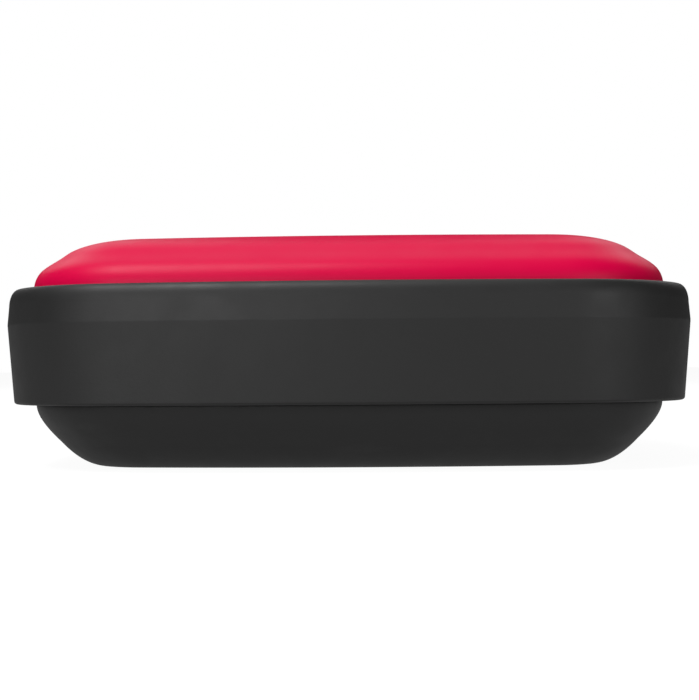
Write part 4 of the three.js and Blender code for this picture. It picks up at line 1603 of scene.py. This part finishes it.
@dataclass
class Clip:
    """The sprung clip across the back, with its hinge pin, spring and rubber pad."""

    rim: float = 3.33
    inset: float = 1.5
    wall: float = 1.1
    floor: float = 0.8
    depth: float = 4.5
    opening: float = 10.0

    def build(self) -> None:
        """Makes the clip and its hinge."""
        self.shell()
        pin = rod(0.6, -9.2, 9.2, HINGE, Axis.X, 0.12, 40)
        make_piece("clip_hinge_pin", pin, Body.PLAYER, STEEL, ["clip_pin"])
        self.spring()
        pad = grip_pad(9.5, 2.8, 3.1, 0.05, 0.18, 3.1)
        make_piece("clip_grip_rubber", pad, Body.CLIP, RUBBER, ["clip_grip_pad"])

    def shell(self) -> None:
        """The moulded clip: a tray with an eased rim, two ribs, the hinge ears and a planed heel."""
        lip = 0.03
        outside = shoulder_edge(self.rim - lip, self.inset, self.rim - lip, self.depth, 16)
        eased = ellipse_edge(self.rim - lip, self.inset, lip, lip, 3)[1:]
        body = PLAN.loft([*outside[::-1], *eased])
        inside = shoulder_edge(self.rim, self.inset + self.wall, self.rim - self.floor, self.depth - 0.5, 8)
        pocket = PLAN.loft([*inside[::-1], (self.rim + 1, self.inset + self.wall)])
        jaw = solid_block((-20, GRIP_Y - 4.2, 0), (20, GRIP_Y + 1.8, 6))
        ribs = [solid_block((side * 11.8 - 0.45, -20, 0), (side * 11.8 + 0.45, 20, 2.2)) for side in SIDES]
        pocket.carve(jaw, *ribs)
        body.carve(pocket)
        ears = []
        for side in SIDES:
            near, far = sorted((side * 7.0, side * 9.2))
            ears.append(hinge_eye(near, far, 0.5, HINGE[1]))
        body.carve(*ears, how=Carving.ONTO)
        heel = solid_block((-30, 0, 0), (30, 20, 4))
        heel.moved(shift(0, HINGE[0], HINGE[1] + 1.2) @ spin(-self.opening - 0.2, "X"))
        hole = rod(0.64, -9.5, 9.5, HINGE, Axis.X, 0, 32)
        seat = solid_block((-9.7, GRIP_Y - 1.3, 2.75), (9.7, GRIP_Y + 1.3, 4))
        body.carve(heel, hole, seat)
        make_piece("clip_moulding", body, Body.CLIP, BLACK, ["clip_shell"])

    def spring(self) -> None:
        """The torsion spring round the pin, taken off every body, so that it stays still as the clip opens."""
        y, z = HINGE
        half, turns, steps, radius, leg = 3.2, 4.5, 4.5 * 24, 1.0, 2.2
        shape = Shape()
        ring = shape.circle(0.2, 0, 10)
        wire = {v for e in ring for v in e.verts}
        upright = shift(-half, y, z + radius) @ spin(90, "X")
        bmesh.ops.transform(shape.bm, matrix=upright, verts=list(wire))
        bmesh.ops.edgeloop_fill(shape.bm, edges=ring)
        start = list(shape.bm.faces)
        self.extend(shape, start, Vector((0, leg, 0)))
        face = self.facing(shape, y)
        made = bmesh.ops.spin(
            shape.bm,
            geom=[face, *face.verts, *face.edges],
            cent=(0, y, z),
            axis=(1, 0, 0),
            dvec=(2 * half / steps, 0, 0),
            angle=turns * TURN,
            steps=int(steps),
        )
        last = [item for item in made["geom_last"] if isinstance(item, bmesh.types.BMFace)]
        self.extend(shape, last, Vector((0, leg, 0)))
        inner = [face for face in shape.bm.faces if all(len(edge.link_faces) > 2 for edge in face.edges)]
        bmesh.ops.delete(shape.bm, geom=inner, context="FACES_ONLY")
        piece = make_piece("clip_spring_wire", shape, Body.PLAYER, STEEL, ["clip_spring"], even=False)
        piece.parent = None
        del piece["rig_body"]
        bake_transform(piece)

    @staticmethod
    def facing(shape: Shape, y: float) -> bmesh.types.BMFace:
        """The wire's end face that lies across the hinge."""
        ends = [face for face in shape.bm.faces if len(face.verts) > 4]
        return min(ends, key=lambda face: abs(face.calc_center_median().y - y))

    @staticmethod
    def extend(shape: Shape, faces: list, reach: Vector) -> None:
        """Draws the wire's end out straight.

        Args:
            shape: The wire.
            faces: Its end face.
            reach: How far and which way the end goes.
        """
        first = len(shape.bm.faces) == len(faces)
        grown = bmesh.ops.extrude_face_region(shape.bm, geom=faces, use_keep_orig=first)
        ends = [item for item in grown["geom"] if isinstance(item, bmesh.types.BMVert)]
        bmesh.ops.translate(shape.bm, verts=ends, vec=reach)


@dataclass
class Soft:
    """The moulded silicone and rubber parts that keep dust out."""

    def build(self) -> None:
        """Makes the gasket and the keypad membrane."""
        levels = [(8.63, 1.45), (8.78, 1.45), (8.8, 1.5), (8.8, 2.3), (8.78, 2.34), (8.63, 2.34)]
        gasket = PLAN.loft(levels, closed=True)
        make_piece("cap_gasket_ring", gasket, Body.PLAYER, RUBBER, ["cap_gasket"])
        dress_node("keypad_membrane", SILICONE)


# --------------------------------------------------------------------------------------- studio


@dataclass(frozen=True)
class Softbox:
    """A square light that faces the player, placed by its bearing.

    The azimuth is 0 in front of the -Y side and grows towards +X. The power is in watts.
    """

    name: str
    azimuth: float
    elevation: float
    power: float
    size: float = 180.0
    distance: float = 350.0

    def build(self) -> None:
        """Makes the light."""
        data = bpy.data.lights.new(self.name, "AREA")
        data.shape = "SQUARE"
        data.size = self.size * MM
        data.energy = self.power
        light = bpy.data.objects.new(self.name, data)
        aim = shift(z=6 * MM)
        bearing = spin(self.azimuth, "Z") @ spin(90 - self.elevation, "X")
        light.matrix_world = aim @ bearing @ shift(z=self.distance * MM)
        bpy.context.scene.collection.objects.link(light)


@dataclass
class Studio:
    """A pale floor, soft lights and the camera."""

    yaw: float = -2.19435
    pitch: float = -0.70155
    roll: float = -0.45264
    aim: Point = (0.32, 90.1717, -2.90316)
    aim_height: float = 3.35
    lens: float = 75.65
    sensor: float = 36.0
    surround: float = 0.02
    floor_glow: float = 0.3
    floor_look: float = 0.95
    floor_drop: float = 0.03
    softboxes: tuple[Softbox, ...] = (
        Softbox("key_light", -48, 63, 0.88),
        Softbox("top_back_light", 180, 65, 0.1),
        Softbox("front_left_light", -30, 8, 0.27),
        Softbox("front_light", -15, 8, 0.17),
        Softbox("front_right_light", 45, 8, 0.3),
        Softbox("back_left_light", -150, 35, 0.11),
        Softbox("back_right_light", 150, 35, 0.11),
    )

    def build(self) -> None:
        """Makes the studio."""
        self.camera()
        self.floor()
        self.world()
        for softbox in self.softboxes:
            softbox.build()

    def camera(self) -> None:
        """The camera, from its distance and its three small tilts."""
        turn = spin(self.roll, "Y") @ spin(self.pitch, "X") @ spin(self.yaw, "Z")
        back = turn.transposed()
        place = -(back.to_3x3() @ Vector(self.aim)) + Vector((0, 0, self.aim_height))
        data = bpy.data.cameras.new("camera")
        data.lens = self.lens
        data.sensor_width = self.sensor
        data.clip_start = MM
        data.clip_end = 20
        camera = bpy.data.objects.new("camera", data)
        camera.matrix_world = shift(*(place * MM)) @ back @ spin(90, "X")
        bpy.context.scene.collection.objects.link(camera)
        bpy.context.scene.camera = camera

    def floor(self) -> None:
        """The plain pale floor."""
        shape = Shape()
        bmesh.ops.create_grid(shape.bm, x_segments=8, y_segments=8, size=4.0)
        mesh = bpy.data.meshes.new("floor")
        shape.bm.to_mesh(mesh)
        floor = bpy.data.objects.new("floor", mesh)
        floor.location.z = -self.floor_drop * MM
        sheet = NodeSheet("pale_floor")
        sheet.give(Base_Color=(0.12, 0.12, 0.12, 1), Roughness=0.9, Specular_IOR_Level=0.1)
        seen = sheet.tree.nodes.new("ShaderNodeLightPath").outputs["Is Camera Ray"]
        sheet.give(
            Emission_Color=(1, 1, 1, 1),
            Emission_Strength=sheet.span(seen, (0, 1), (self.floor_glow, self.floor_look)),
        )
        mesh.materials.append(sheet.material)
        bpy.context.scene.collection.objects.link(floor)

    def world(self) -> None:
        """A white surround that lights the player more softly than it looks."""
        world = bpy.data.worlds.new("surround")
        world.use_nodes = True
        tree = world.node_tree
        tree.nodes.clear()
        lit, seen = (tree.nodes.new("ShaderNodeBackground") for _ in range(2))
        for background, strength in ((lit, self.surround), (seen, 1.0)):
            background.inputs["Strength"].default_value = strength
            background.inputs["Color"].default_value = (1, 1, 1, 1)
        mix = tree.nodes.new("ShaderNodeMixShader")
        out = tree.nodes.new("ShaderNodeOutputWorld")
        tree.links.new(tree.nodes.new("ShaderNodeLightPath").outputs["Is Camera Ray"], mix.inputs[0])
        tree.links.new(lit.outputs[0], mix.inputs[1])
        tree.links.new(seen.outputs[0], mix.inputs[2])
        tree.links.new(mix.outputs[0], out.inputs[0])
        bpy.context.scene.world = world
        bpy.context.scene.view_settings.view_transform = "Standard"


def main() -> None:
    """Builds the studio and the player, in order."""
    logging.basicConfig(level=logging.INFO, format="%(name)s: %(message)s")
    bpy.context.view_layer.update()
    for part in (Studio(), FrontCap(), MiddleBand(), KeyField(), Soft(), Electronics(), BatteryPack(), Back(), Clip()):
        LOG.info("building %s", type(part).__name__)
        part.build()


if __name__ == "__main__":
    main()
